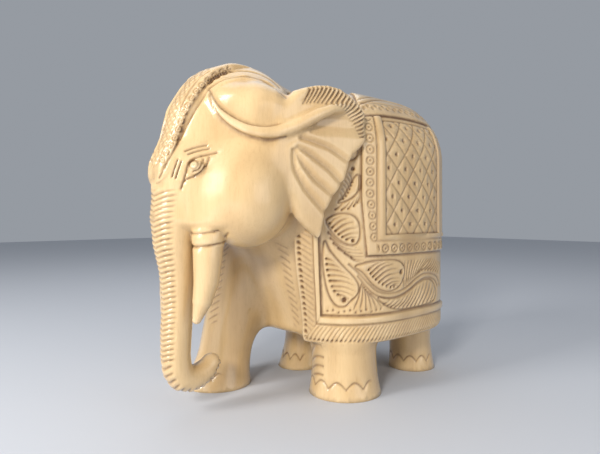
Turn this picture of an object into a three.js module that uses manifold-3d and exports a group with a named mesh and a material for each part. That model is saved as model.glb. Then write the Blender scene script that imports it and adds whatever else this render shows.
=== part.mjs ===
// A carved wooden elephant with a draped saddle blanket, made as one block.
// Units are millimetres, +Z is up, the elephant faces -Y and its left side is +X.
// The form is a distance field of rounded bodies. It is laid out about 155 units
// high, cut into a closed mesh, thinned to few faces and scaled to the real height.
import * as THREE from "three";
import Module from "manifold-3d";

// Driving sizes
const HEIGHT = 152;
const BODY_HALF_WIDTH = 45;
const BODY_HALF_LENGTH = 46.5;
const BODY_CENTRE_Y = 17.5;
const BODY_SQUARENESS = 3;
const SHOULDER_Z = 113.4;
const TOP_RADIUS = 31;
const BELLY_Z = 27.5;
const BLANKET_THICKNESS = 2.3;
const BLANKET_HEM_Z = 25;
const BLANKET_FRONT = 18.5;
const BORDER_WIDTH = 7.2;
const FRAME_WIDTH = 2.6;
const FIELD_BOTTOM = 39.2;
const CIRCLE_BAND_FRONT = 45.5;
const CIRCLE_BAND_BOTTOM = 65.8;
const PANEL_FRONT = 58.5;
const PANEL_BOTTOM = 76;
const PANEL_REAR = 100.5;
const PANEL_TOP = 132.4;
const EAR_THICKNESS = 5.2;
const TUSK_SPACING = 14.2;
const CELL = 1.5;
const TRIANGLES = 9700;
const EVENNESS = 0.003;

const wasm = await Module();
wasm.setup();

// Blends of two distances
function join(a, b, k) {
  const h = Math.max(k - Math.abs(a - b), 0) / k;
  return Math.min(a, b) - h * h * k * 0.25;
}

function meet(a, b, k) {
  return -join(-a, -b, k);
}

function clamp(v, low, high) {
  return Math.min(Math.max(v, low), high);
}

function smooth(edge0, edge1, v) {
  const t = clamp((v - edge0) / (edge1 - edge0), 0, 1);
  return t * t * (3 - 2 * t);
}

// Rounded bodies
function ellipsoid(x, y, z, c, r) {
  const px = x - c[0];
  const py = y - c[1];
  const pz = z - c[2];
  const k0 = Math.hypot(px / r[0], py / r[1], pz / r[2]);
  const k1 = Math.hypot(px / r[0] ** 2, py / r[1] ** 2, pz / r[2] ** 2) + 1e-6;
  return (k0 * (k0 - 1)) / k1;
}

function link(x, y, z, a, b) {
  const bx = b[0] - a[0];
  const by = b[1] - a[1];
  const bz = b[2] - a[2];
  const px = x - a[0];
  const py = y - a[1];
  const pz = z - a[2];
  const h = clamp((px * bx + py * by + pz * bz) / (bx * bx + by * by + bz * bz), 0, 1);
  return Math.hypot(px - bx * h, py - by * h, pz - bz * h) - (a[3] + (b[3] - a[3]) * h);
}

function limb(x, y, z, points, blend) {
  let d = 1e9;
  for (let i = 1; i < points.length; i += 1) {
    const c = link(x, y, z, points[i - 1], points[i]);
    d = blend ? join(d, c, blend) : Math.min(d, c);
  }
  return d;
}

// Body: a squared oval in plan with a rounded top
function plan(ax, y) {
  const u = ax / BODY_HALF_WIDTH;
  const v = Math.abs(y - BODY_CENTRE_Y) / BODY_HALF_LENGTH;
  const n = BODY_SQUARENESS;
  const g = Math.pow(u ** n + v ** n + 1e-9, 1 / n);
  const gx = (u / g) ** (n - 1) / BODY_HALF_WIDTH;
  const gy = (v / g) ** (n - 1) / BODY_HALF_LENGTH;
  return (g - 1) / Math.hypot(gx, gy, 1e-6);
}

function body(ax, y, z) {
  const side = plan(ax, y);
  let d = Math.max(side, -TOP_RADIUS);
  if (z > SHOULDER_Z) {
    d = Math.hypot(Math.max(side + TOP_RADIUS, 0), z - SHOULDER_Z) - TOP_RADIUS;
  }
  const chest = ellipsoid(ax, y, z, [0, -14, 80], [34, 29, 50]);
  return meet(join(d, chest, 8), BELLY_Z - z, 5);
}

// Distance along the plan outline from the middle of the chest, by polar angle
const ARC_STEPS = 720;
const arc = [0];
{
  const n = BODY_SQUARENESS;
  let last = null;
  for (let i = 0; i <= ARC_STEPS; i += 1) {
    const a = (i / ARC_STEPS - 0.5) * Math.PI;
    const u = Math.abs(Math.cos(a)) / BODY_HALF_WIDTH;
    const v = Math.abs(Math.sin(a)) / BODY_HALF_LENGTH;
    const r = Math.pow(u ** n + v ** n, -1 / n);
    const p = [r * Math.cos(a), r * Math.sin(a)];
    if (last) {
      arc.push(arc[i - 1] + Math.hypot(p[0] - last[0], p[1] - last[1]));
    }
    last = p;
  }
}

function along(ax, y) {
  const a = (Math.atan2(y - BODY_CENTRE_Y, ax) / Math.PI + 0.5) * ARC_STEPS;
  const i = clamp(Math.floor(a), 0, ARC_STEPS - 1);
  return arc[i] + (arc[i + 1] - arc[i]) * (a - i);
}

// Height up the side, carried on over the rounded top
function upward(ax, y, z) {
  if (z <= SHOULDER_Z) {
    return z;
  }
  const q = Math.max(plan(ax, y) + TOP_RADIUS, 1e-3);
  return SHOULDER_Z + TOP_RADIUS * Math.atan2(z - SHOULDER_Z, q);
}

function ridge(v, centre, width) {
  return 1 - smooth(width * 0.3, width * 0.75, Math.abs(v - centre));
}

// Raised frames and sunk fields of the blanket
function blanketCarving(ax, y, z) {
  const s = along(ax, y);
  const t = upward(ax, y, z);
  // The upper edge of the panel arches over the side
  const panelTop = PANEL_TOP - 0.0018 * (s - 80) ** 2;
  const crest = PANEL_TOP + 15.6 - 0.008 * (s - 80) ** 2;
  // The circle band leans back a little towards its foot
  const bandFront = CIRCLE_BAND_FRONT + 0.1 * Math.max(0, 93 - t);
  let h = 0;
  const borderS = BLANKET_FRONT + BORDER_WIDTH;
  h = Math.max(h, ridge(s, borderS + 1.4, FRAME_WIDTH) * smooth(35, 37, t));
  h = Math.max(h, ridge(t, FIELD_BOTTOM - 2.2, FRAME_WIDTH) * smooth(borderS, borderS + 2, s));
  const inBand = smooth(bandFront - 0.6, bandFront + 0.6, s) *
    smooth(CIRCLE_BAND_BOTTOM - 0.6, CIRCLE_BAND_BOTTOM + 0.6, t);
  const inPanel = smooth(PANEL_FRONT - 0.8, PANEL_FRONT + 0.8, s) *
    smooth(PANEL_BOTTOM - 0.8, PANEL_BOTTOM + 0.8, t) *
    (1 - smooth(PANEL_REAR - 0.8, PANEL_REAR + 0.8, s)) *
    (1 - smooth(-0.8, 0.8, t - panelTop));
  h = Math.max(h, inBand * 0.9);
  h -= inPanel * 0.8;
  h = Math.max(h, ridge(t, crest, 4) * smooth(20, 40, s));
  return h * 0.9;
}

// Legs: fluted columns that spread to the foot
function leg(x, y, z, foot, top, footRadius, ankle, thigh, footHeight) {
  const low = clamp(z / footHeight, 0, 1);
  const high = clamp(z / 70, 0, 1);
  const cx = foot[0] + (top[0] - foot[0]) * high;
  const cy = foot[1] + (top[1] - foot[1]) * high;
  const r = footRadius + (ankle - footRadius) * (1 - (1 - low) ** 2) +
    (thigh - ankle) * clamp((z - footHeight) / (70 - footHeight), 0, 1);
  const d = Math.max(Math.hypot(x - cx, y - cy) - r, -1.8 - z);
  return meet(d, z - 72, 10);
}

function legs(x, y, z) {
  const frontLeft = leg(x, y, z, [26, -8], [23, -8], 17.5, 15.6, 16.8, 16);
  const frontRight = leg(x, y, z, [-26.5, -47], [-20, -30], 17.2, 13.5, 17.5, 18);
  const rearLeft = leg(x, y, z, [22, 51.2], [21, 45], 12.7, 11.4, 15, 16);
  const rearRight = leg(x, y, z, [-21.5, 5], [-20, 16], 12, 10.2, 15, 16);
  return [frontLeft, frontRight, rearLeft, rearRight];
}

// Head
const BROW = [
  [0, -52.5, 138.3, 11],
  [0, -66.5, 135.3, 11],
  [0, -73.5, 125, 11.5],
  [0, -76, 113, 12.5],
  [0, -80.2, 103, 12.6],
];
const TRUNK = [
  [0, -81, 103, 12.3],
  [0, -83.2, 94, 11.4],
  [0, -85, 84, 10.5],
  [0, -85.4, 74, 9.1],
  [0, -84.2, 62, 7.6],
  [0, -83.8, 48, 6.8],
  [0, -84.6, 36, 6.6],
  [0, -84.9, 26, 6.3],
  [0, -84.2, 20, 6.2],
  [0, -82, 16, 6],
  [0, -78.2, 14.4, 5.7],
  [0, -74, 14.7, 5.4],
  [0, -70.3, 16.4, 5],
  [0, -67.4, 19.2, 4.3],
];
const TUSK = [
  [TUSK_SPACING - 3.5, -75.2, 95, 7],
  [TUSK_SPACING - 1, -76.8, 82, 6.8],
  [TUSK_SPACING + 0.2, -78, 68, 6.1],
  [TUSK_SPACING + 0.5, -78.8, 58, 5.3],
  [TUSK_SPACING, -80.4, 50, 4.1],
  [TUSK_SPACING - 0.5, -82.7, 42.5, 1.9],
];
const COLLAR = [
  [TUSK_SPACING - 0.2, -77.4, 77, 6.9],
  [TUSK_SPACING, -77.5, 75, 6.9],
];
// The rolled fold that runs under the temple and out into the ear
const FOLD = [
  [10, -75.2, 136.4, 1.2],
  [13.2, -75.6, 132.6, 1.9],
  [17.2, -74, 127.2, 2.3],
  [22, -70.6, 122.8, 2.5],
  [26.5, -66.8, 120, 2.6],
  [30.3, -62.4, 118.8, 2.7],
  [33.6, -56.4, 119, 2.8],
  [36.2, -50, 121.6, 2.8],
  [38.6, -45, 124.6, 2.8],
  [40.8, -39.5, 127.8, 2.6],
  [42.6, -33, 130.6, 2.4],
  [44.2, -26.2, 131.9, 2.2],
  [45.2, -21, 131.4, 2],
  [45.8, -17.6, 129, 1.6],
];
const STRAP = [
  [9.6, -74, 137.4, 1.2],
  [13.2, -69, 141.3, 1.7],
  [16.8, -61.5, 143.6, 1.8],
  [21.6, -53.2, 141.5, 1.8],
  [25.6, -47.4, 136.8, 1.8],
  [28.8, -43.2, 131.5, 1.8],
  [31.5, -41.5, 125.5, 1.5],
];
// The almond swelling of the temple between strap and fold
const TEMPLE = [
  [11, -71.5, 135, 2],
  [16, -65, 132.5, 8],
  [19.8, -58.2, 130, 11.6],
  [24.8, -52.3, 129, 9.2],
  [29.5, -45, 127.5, 3],
];
const EYE = [15.6, -83.4, 104];

function head(ax, y, z) {
  const skull = ellipsoid(ax, y, z, [0, -50, 115.2], [34, 27, 34.5]);
  let d = join(skull, limb(ax, y, z, BROW, 0), 16);
  d = join(d, ellipsoid(ax, y, z, [18, -61, 92], [18.5, 20, 21]), 10);
  // The headdress band down the middle of the forehead
  const tongue = clamp((106 - z) / 8, 0, 1);
  const bandEdge = (7.2 + 2.5 * smooth(117, 131, z)) * Math.sqrt(1 - tongue ** 2);
  const rim = 0.8 * ridge(ax, bandEdge - 1.6, 3);
  const band = meet(meet(d - 1.4 - rim, ax - bandEdge, 0.4), 98 - z, 0.4);
  d = Math.min(d, Math.max(band, y + 48));
  d = join(d, limb(ax, y, z, TEMPLE, 3), 3);
  d = join(d, limb(ax, y, z, STRAP, 0), 1.2);
  d = join(d, limb(ax, y, z, FOLD, 0), 1.5);
  d = Math.min(d, ellipsoid(ax, y, z, EYE, [2.6, 3.2, 2.6]));
  return d;
}

// Ear: a leaf outline in the side view, bent round the head
const EAR = [
  [-58, 121], [-52, 132.5], [-47.5, 137.7], [-43, 139.5], [-37.6, 141], [-31.9, 141.6],
  [-26.3, 140.7], [-21.3, 137.8], [-17, 134.4], [-14.5, 131], [-13.4, 127],
  [-13.4, 122.3], [-15, 117.6], [-18, 114.3], [-21.3, 111.6], [-23.2, 108.3],
  [-24.1, 104.8], [-25.6, 100.2], [-28.8, 95.6], [-31.9, 91.2], [-34, 87], [-35, 82.6],
  [-35.5, 77.6], [-36.7, 74.8], [-39, 76.8], [-42.8, 79.8], [-46.8, 84], [-50.2, 91],
  [-54, 98], [-59, 106],
];
// Folds that fan down from the root of the ear, in the side view
const EAR_FOLDS = [
  [[0, -46.1, 117.4, 0], [0, -41.6, 116.4, 0], [0, -33.3, 113.9, 0], [0, -25, 109.1, 0]],
  [[0, -47.9, 113.1, 0], [0, -42.6, 110.8, 0], [0, -33.3, 104.4, 0], [0, -27.5, 99, 0]],
  [[0, -49.2, 112.2, 0], [0, -46.2, 106.4, 0], [0, -39.8, 99.9, 0], [0, -31.5, 93.8, 0]],
  [[0, -50, 112.1, 0], [0, -49.2, 103.8, 0], [0, -44.2, 95.6, 0], [0, -35.2, 86.5, 0]],
];
const EAR_FOLD_DEPTH = 0.9;

function outline(u, v, points) {
  let d = 1e9;
  let inside = false;
  for (let i = 0; i < points.length; i += 1) {
    const a = points[i];
    const b = points[(i + 1) % points.length];
    const ex = b[0] - a[0];
    const ey = b[1] - a[1];
    const wx = u - a[0];
    const wy = v - a[1];
    const h = clamp((wx * ex + wy * ey) / (ex * ex + ey * ey), 0, 1);
    d = Math.min(d, Math.hypot(wx - ex * h, wy - ey * h));
    if (a[1] > v !== b[1] > v && u < (ex * (v - a[1])) / ey + a[0]) {
      inside = !inside;
    }
  }
  return inside ? -d : d;
}

function ear(ax, y, z) {
  const away = clamp((y + 60) / 55, 0, 1);
  const middle = 29 + 17 * away ** 0.75 - 0.0016 * (z - 108) ** 2;
  let cut = 0;
  for (const points of EAR_FOLDS) {
    const d = limb(0, y, z, points, 0);
    cut = Math.max(cut, 1 - smooth(0, 3, d));
  }
  const cup = 1.6 * smooth(-46, -38, y) * smooth(118, 124, z) * (1 - smooth(126, 131, z));
  const face = middle + EAR_THICKNESS / 2 - EAR_FOLD_DEPTH * cut - cup;
  const slab = Math.max(ax - face, middle - EAR_THICKNESS / 2 - ax) * 0.9;
  return meet(outline(y, z, EAR), slab, 2.5);
}

const TAIL = [
  [0, 59, 130, 4],
  [0, 64.5, 112, 3.6],
  [0, 66, 90, 3.1],
  [0, 66, 66, 2.8],
  [0, 66, 54, 3.6],
  [0, 66, 44, 4],
  [0, 65.5, 34, 2.2],
];

function field(x, y, z) {
  const ax = Math.abs(x);
  const trunkBody = body(ax, y, z);
  let d = join(trunkBody, ellipsoid(ax, y, z, [0, -36, 107], [35, 30, 40]), 8);
  for (const l of legs(x, y, z)) {
    d = join(d, l, 8);
  }
  if (trunkBody < 8) {
    const lift = BLANKET_THICKNESS + blanketCarving(ax, y, z);
    const front = Math.min(BLANKET_FRONT - along(ax, y), -22 - y);
    let cloth = meet(meet(trunkBody - lift, front, 0.8), BLANKET_HEM_Z - z, 1.2);
    if (z < BELLY_Z + 1.5) {
      cloth = Math.max(cloth, -plan(ax, y) - 3.5);
    }
    d = Math.min(d, cloth);
  }
  let h = head(ax, y, z);
  h = join(h, limb(ax, y, z, TRUNK, 0), 6);
  // The root of the tusk runs smoothly into the face, the collar stays sharp
  h = join(h, limb(ax, y, z, TUSK, 0), 1 + 8 * smooth(77, 82, z));
  h = Math.min(h, limb(ax, y, z, COLLAR, 0));
  d = join(d, h, 4);
  d = join(d, ear(ax, y, z), 2);
  return join(d, limb(x, y, z, TAIL, 2), 1);
}

// Closed mesh of the field: each cell of the grid is split into six tetrahedra
function polygonise() {
  const low = [-50, -99.5, -4];
  const high = [50, 74, 160];
  const n = [0, 1, 2].map((i) => Math.ceil((high[i] - low[i]) / CELL / 4) * 4 + 1);
  const value = new Float32Array(n[0] * n[1] * n[2]);
  const at = (i, j, k) => (i * n[1] + j) * n[2] + k;
  const block = 4;
  const far = CELL * block * 1.6;
  for (let i = 0; i < n[0]; i += block) {
    for (let j = 0; j < n[1]; j += block) {
      for (let k = 0; k < n[2]; k += block) {
        const mid = [i, j, k].map((v, a) => low[a] + (v + (block - 1) / 2) * CELL);
        const m = field(mid[0], mid[1], mid[2]);
        for (let a = i; a < Math.min(i + block, n[0]); a += 1) {
          for (let b = j; b < Math.min(j + block, n[1]); b += 1) {
            for (let c = k; c < Math.min(k + block, n[2]); c += 1) {
              let v = m;
              if (Math.abs(m) < far) {
                v = field(low[0] + a * CELL, low[1] + b * CELL, low[2] + c * CELL);
              }
              value[at(a, b, c)] = v === 0 ? 1e-4 : v;
            }
          }
        }
      }
    }
  }
  const corners = [[0, 0, 0], [1, 0, 0], [0, 1, 0], [1, 1, 0], [0, 0, 1], [1, 0, 1], [0, 1, 1], [1, 1, 1]];
  const tets = [[0, 1, 3, 7], [0, 3, 2, 7], [0, 2, 6, 7], [0, 6, 4, 7], [0, 4, 5, 7], [0, 5, 1, 7]];
  const vertices = [];
  const faces = [];
  const made = new Map();
  const total = value.length;
  const point = (p, q) => {
    const key = Math.min(p, q) * total + Math.max(p, q);
    let id = made.get(key);
    if (id === undefined) {
      const t = clamp(value[p] / (value[p] - value[q]), 0.04, 0.96);
      const where = [p, q].map((w) => {
        const k = w % n[2];
        const j = Math.floor(w / n[2]) % n[1];
        const i = Math.floor(w / n[2] / n[1]);
        return [low[0] + i * CELL, low[1] + j * CELL, low[2] + k * CELL];
      });
      id = vertices.length / 3;
      for (let a = 0; a < 3; a += 1) {
        vertices.push(where[0][a] + (where[1][a] - where[0][a]) * t);
      }
      made.set(key, id);
    }
    return id;
  };
  for (let i = 0; i < n[0] - 1; i += 1) {
    for (let j = 0; j < n[1] - 1; j += 1) {
      for (let k = 0; k < n[2] - 1; k += 1) {
        const id = corners.map((c) => at(i + c[0], j + c[1], k + c[2]));
        let inside = 0;
        for (const v of id) {
          inside += value[v] < 0 ? 1 : 0;
        }
        if (inside === 0 || inside === 8) {
          continue;
        }
        for (const t of tets) {
          const p = t.map((c) => id[c]);
          const within = [0, 1, 2, 3].filter((c) => value[p[c]] < 0);
          const without = [0, 1, 2, 3].filter((c) => value[p[c]] >= 0);
          if (within.length === 0 || within.length === 4) {
            continue;
          }
          // An even order of the corners keeps the faces turned outwards
          const order = [...within, ...without];
          let swaps = 0;
          for (let a = 0; a < 4; a += 1) {
            for (let b = a + 1; b < 4; b += 1) {
              swaps += order[a] > order[b] ? 1 : 0;
            }
          }
          const [a, b, c, d] = order.map((o) => p[o]);
          let quad;
          if (within.length === 1) {
            quad = [point(a, b), point(a, c), point(a, d)];
          } else if (within.length === 3) {
            quad = [point(a, d), point(b, d), point(c, d)];
          } else {
            quad = [point(a, c), point(a, d), point(b, d), point(b, c)];
          }
          if (swaps % 2 === 1) {
            quad.reverse();
          }
          faces.push([quad[0], quad[1], quad[2]]);
          if (quad.length === 4) {
            faces.push([quad[0], quad[2], quad[3]]);
          }
        }
      }
    }
  }
  return { vertices, faces };
}

// Evens out the faces: each corner moves to the middle of its neighbours and back onto the form
function relax(mesh, rounds) {
  const { vertices, faces } = mesh;
  const count = vertices.length / 3;
  for (let round = 0; round < rounds; round += 1) {
    const sum = new Float64Array(count * 4);
    for (const f of faces) {
      for (let k = 0; k < 3; k += 1) {
        const v = f[k];
        const w = f[(k + 1) % 3];
        for (let a = 0; a < 3; a += 1) {
          sum[v * 4 + a] += vertices[w * 3 + a];
          sum[w * 4 + a] += vertices[v * 3 + a];
        }
        sum[v * 4 + 3] += 1;
        sum[w * 4 + 3] += 1;
      }
    }
    for (let v = 0; v < count; v += 1) {
      const p = [0, 1, 2].map((a) => {
        const mean = sum[v * 4 + a] / sum[v * 4 + 3];
        return vertices[v * 3 + a] + 0.8 * (mean - vertices[v * 3 + a]);
      });
      const d = field(p[0], p[1], p[2]);
      const e = 0.05;
      const gx = (field(p[0] + e, p[1], p[2]) - d) / e;
      const gy = (field(p[0], p[1] + e, p[2]) - d) / e;
      const gz = (field(p[0], p[1], p[2] + e) - d) / e;
      const step = clamp(d / Math.max(gx * gx + gy * gy + gz * gz, 0.3), -0.6, 0.6);
      vertices[v * 3] = p[0] - step * gx;
      vertices[v * 3 + 1] = p[1] - step * gy;
      vertices[v * 3 + 2] = p[2] - step * gz;
    }
  }
  return mesh;
}

// Thins a closed mesh to the asked number of faces, cheapest edges first
function thin(mesh, target) {
  const { vertices, faces } = mesh;
  const count = vertices.length / 3;
  const quadric = new Float64Array(count * 10);
  const around = Array.from({ length: count }, () => new Set());
  const alive = new Uint8Array(faces.length).fill(1);
  const stamp = new Uint32Array(count);
  const get = (v) => [vertices[v * 3], vertices[v * 3 + 1], vertices[v * 3 + 2]];
  const normal = (a, b, c) => {
    const ux = b[0] - a[0];
    const uy = b[1] - a[1];
    const uz = b[2] - a[2];
    const vx = c[0] - a[0];
    const vy = c[1] - a[1];
    const vz = c[2] - a[2];
    return [uy * vz - uz * vy, uz * vx - ux * vz, ux * vy - uy * vx];
  };
  faces.forEach((f, i) => {
    const [a, b, c] = f.map(get);
    const m = normal(a, b, c);
    const area = Math.hypot(m[0], m[1], m[2]) + 1e-12;
    const [p, q, r] = m.map((v) => v / area);
    const s = -(p * a[0] + q * a[1] + r * a[2]);
    const terms = [p * p, p * q, p * r, p * s, q * q, q * r, q * s, r * r, r * s, s * s];
    for (const v of f) {
      around[v].add(i);
      for (let k = 0; k < 10; k += 1) {
        quadric[v * 10 + k] += terms[k] * area;
      }
    }
  });
  const cost = (q, x, y, z) =>
    q[0] * x * x + 2 * q[1] * x * y + 2 * q[2] * x * z + 2 * q[3] * x + q[4] * y * y +
    2 * q[5] * y * z + 2 * q[6] * y + q[7] * z * z + 2 * q[8] * z + q[9];
  const best = (u, v) => {
    const q = new Array(10);
    for (let k = 0; k < 10; k += 1) {
      q[k] = quadric[u * 10 + k] + quadric[v * 10 + k];
    }
    const a = get(u);
    const b = get(v);
    const mid = [(a[0] + b[0]) / 2, (a[1] + b[1]) / 2, (a[2] + b[2]) / 2];
    // A little pull to the middle keeps the solution steady where the mesh is flat
    const w = 1e-3 * (q[0] + q[4] + q[7]) + 1e-9;
    const m = [q[0] + w, q[1], q[2], q[4] + w, q[5], q[7] + w];
    const r = [-q[3] + w * mid[0], -q[6] + w * mid[1], -q[8] + w * mid[2]];
    const det = m[0] * (m[3] * m[5] - m[4] * m[4]) - m[1] * (m[1] * m[5] - m[4] * m[2]) +
      m[2] * (m[1] * m[4] - m[3] * m[2]);
    let p = mid;
    if (Math.abs(det) > 1e-14) {
      p = [
        (r[0] * (m[3] * m[5] - m[4] * m[4]) - m[1] * (r[1] * m[5] - m[4] * r[2]) +
          m[2] * (r[1] * m[4] - m[3] * r[2])) / det,
        (m[0] * (r[1] * m[5] - m[4] * r[2]) - r[0] * (m[1] * m[5] - m[4] * m[2]) +
          m[2] * (m[1] * r[2] - r[1] * m[2])) / det,
        (m[0] * (m[3] * r[2] - r[1] * m[4]) - m[1] * (m[1] * r[2] - r[1] * m[2]) +
          r[0] * (m[1] * m[4] - m[3] * m[2])) / det,
      ];
      const span = Math.hypot(a[0] - b[0], a[1] - b[1], a[2] - b[2]);
      if (Math.hypot(p[0] - mid[0], p[1] - mid[1], p[2] - mid[2]) > 2 * span) {
        p = mid;
      }
    }
    return { p, c: Math.max(cost(q, p[0], p[1], p[2]), 0) };
  };
  // A heap of edges with the cheapest on top
  const heap = [];
  const push = (e) => {
    let i = heap.length;
    heap.push(e);
    while (i > 0) {
      const up = (i - 1) >> 1;
      if (heap[up].c <= e.c) {
        break;
      }
      heap[i] = heap[up];
      i = up;
    }
    heap[i] = e;
  };
  const pop = () => {
    const top = heap[0];
    const e = heap.pop();
    if (heap.length) {
      let i = 0;
      for (;;) {
        let d = 2 * i + 1;
        if (d >= heap.length) {
          break;
        }
        if (d + 1 < heap.length && heap[d + 1].c < heap[d].c) {
          d += 1;
        }
        if (heap[d].c >= e.c) {
          break;
        }
        heap[i] = heap[d];
        i = d;
      }
      heap[i] = e;
    }
    return top;
  };
  const offer = (u, v) => {
    const { p, c } = best(u, v);
    const a = get(u);
    const b = get(v);
    // Short edges go first where the surface is flat, which keeps the faces well shaped
    const span = (a[0] - b[0]) ** 2 + (a[1] - b[1]) ** 2 + (a[2] - b[2]) ** 2;
    push({ u, v, p, c: c + EVENNESS * span, su: stamp[u], sv: stamp[v] });
  };
  const neighbours = (v) => {
    const out = new Set();
    for (const f of around[v]) {
      for (const w of faces[f]) {
        out.add(w);
      }
    }
    out.delete(v);
    return out;
  };
  const longest = (tri) => {
    let most = 0;
    for (let k = 0; k < 3; k += 1) {
      const a = tri[k];
      const b = tri[(k + 1) % 3];
      most = Math.max(most, Math.hypot(a[0] - b[0], a[1] - b[1], a[2] - b[2]));
    }
    return most;
  };
  const turns = (v, other, p, slimmest) => {
    for (const f of around[v]) {
      const tri = faces[f];
      if (tri.includes(other)) {
        continue;
      }
      const old = tri.map(get);
      const now = tri.map((w, i) => (w === v ? p : old[i]));
      const m = normal(...old);
      const o = normal(...now);
      const lm = Math.hypot(...m);
      const lo = Math.hypot(...o);
      const dot = m[0] * o[0] + m[1] * o[1] + m[2] * o[2];
      const shape = lo / longest(now) ** 2;
      if (dot < 0.3 * lm * lo || (shape < slimmest && shape < lm / longest(old) ** 2)) {
        return true;
      }
    }
    return false;
  };
  let left = faces.length;
  // Each round allows slimmer faces, for what the round before it had to leave
  for (const slimmest of [0.1, 0.03, 0.004]) {
    faces.forEach((f, i) => {
      for (let k = 0; k < 3; k += 1) {
        if (alive[i] && f[k] < f[(k + 1) % 3]) {
          offer(f[k], f[(k + 1) % 3]);
        }
      }
    });
    while (left > target && heap.length) {
      const e = pop();
      const { u, v, p } = e;
      if (stamp[u] !== e.su || stamp[v] !== e.sv || !around[u].size || !around[v].size) {
        continue;
      }
      const nu = neighbours(u);
      let shared = 0;
      for (const w of neighbours(v)) {
        shared += nu.has(w) ? 1 : 0;
      }
      if (shared !== 2 || turns(u, v, p, slimmest) || turns(v, u, p, slimmest)) {
        continue;
      }
      for (let k = 0; k < 3; k += 1) {
        vertices[u * 3 + k] = p[k];
      }
      for (let k = 0; k < 10; k += 1) {
        quadric[u * 10 + k] += quadric[v * 10 + k];
      }
      for (const f of around[v]) {
        if (faces[f].includes(u)) {
          alive[f] = 0;
          left -= 1;
          for (const w of faces[f]) {
            if (w !== v) {
              around[w].delete(f);
            }
          }
        } else {
          faces[f] = faces[f].map((w) => (w === v ? u : w));
          around[u].add(f);
        }
      }
      around[v].clear();
      stamp[u] += 1;
      stamp[v] += 1;
      for (const w of neighbours(u)) {
        offer(u, w);
      }
    }
  }
  return { vertices, faces: faces.filter((f, i) => alive[i]) };
}

function solid(mesh) {
  const index = new Map();
  const positions = [];
  const triangles = [];
  for (const f of mesh.faces) {
    for (const v of f) {
      if (!index.has(v)) {
        index.set(v, positions.length / 3);
        for (let k = 0; k < 3; k += 1) {
          positions.push(mesh.vertices[v * 3 + k]);
        }
      }
      triangles.push(index.get(v));
    }
  }
  return new wasm.Manifold(
    new wasm.Mesh({
      numProp: 3,
      vertProperties: new Float32Array(positions),
      triVerts: new Uint32Array(triangles),
    }),
  );
}

// The legs run a little below the ground and are cut off flat at the soles
const rough = solid(thin(relax(polygonise(), 3), TRIANGLES));
const standing = rough.trimByPlane([0, 0, 1], 0);
const box = standing.boundingBox();
const scale = HEIGHT / (box.max[2] - box.min[2]);
const middle = standing.translate([
  -(box.min[0] + box.max[0]) / 2,
  -(box.min[1] + box.max[1]) / 2,
  -box.min[2],
]);
const centred = middle.scale([scale, scale, scale]);

const cut = centred.getMesh();
const geometry = new THREE.BufferGeometry();
const corners = new Float32Array(cut.numVert * 3);
for (let i = 0; i < cut.numVert; i += 1) {
  for (let k = 0; k < 3; k += 1) {
    corners[i * 3 + k] = cut.vertProperties[i * cut.numProp + k];
  }
}
geometry.setAttribute("position", new THREE.BufferAttribute(corners, 3));
geometry.setIndex(new THREE.BufferAttribute(new Uint32Array(cut.triVerts), 1));
geometry.computeVertexNormals();

const wood = new THREE.MeshStandardMaterial({ color: 0xd9b57a, roughness: 0.45, metalness: 0 });
wood.name = "pale_wood";
const elephant = new THREE.Mesh(geometry, wood);
elephant.name = "elephant";
const part = new THREE.Group();
part.name = "wooden_elephant";
part.add(elephant);

export default part;
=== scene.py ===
"""Carved wooden elephant with a draped blanket, in one piece."""

import math

import bpy
import numpy as np
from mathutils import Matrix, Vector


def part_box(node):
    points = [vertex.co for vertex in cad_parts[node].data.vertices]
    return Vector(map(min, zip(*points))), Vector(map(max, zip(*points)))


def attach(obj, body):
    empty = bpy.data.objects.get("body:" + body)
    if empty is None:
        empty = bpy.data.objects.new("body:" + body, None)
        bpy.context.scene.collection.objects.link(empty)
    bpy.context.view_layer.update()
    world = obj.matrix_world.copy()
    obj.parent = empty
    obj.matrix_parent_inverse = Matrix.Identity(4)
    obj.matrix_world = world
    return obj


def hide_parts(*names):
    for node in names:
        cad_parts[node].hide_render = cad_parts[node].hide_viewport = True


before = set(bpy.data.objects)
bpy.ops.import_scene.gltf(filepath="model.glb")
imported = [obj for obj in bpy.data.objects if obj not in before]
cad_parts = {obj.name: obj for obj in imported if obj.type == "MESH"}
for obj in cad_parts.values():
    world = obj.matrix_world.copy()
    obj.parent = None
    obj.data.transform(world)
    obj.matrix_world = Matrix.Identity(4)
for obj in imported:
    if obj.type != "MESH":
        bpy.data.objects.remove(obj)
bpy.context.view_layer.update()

# Driving sizes, in layout units: the figure is laid out about 155 units high
HALF_WIDTH, HALF_LENGTH, CENTRE_Y, SQUARENESS = 45.0, 46.5, 17.5, 3.0
SHOULDER_Z, TOP_RADIUS, BELLY_Z = 113.4, 31.0, 27.5
CLOTH, HEM_Z, CLOTH_FRONT = 2.3, 25.0, 18.5
BORDER, FIELD_BOTTOM = 7.2, 39.2
BAND_FRONT, BAND_BOTTOM = 45.5, 65.8
PANEL_FRONT, PANEL_REAR, PANEL_BOTTOM, PANEL_TOP = 58.5, 100.5, 76.0, 132.4
EAR_THICKNESS, TUSK_X = 5.2, 14.2
FIELD_FRONT = CLOTH_FRONT + BORDER
BAND_SLOPE, PANEL_SLOPE = 0.6, 0.8
LEG_TOP = 70


def join(a, b, k):
    h = np.maximum(k - np.abs(a - b), 0) / k
    return np.minimum(a, b) - h * h * k * 0.25


def meet(a, b, k):
    return -join(-a, -b, k)


def smooth(e0, e1, v):
    t = np.clip((v - e0) / (e1 - e0), 0, 1)
    return t * t * (3 - 2 * t)


def step_up(at, half, v):
    return smooth(at - half, at + half, v)


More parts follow.
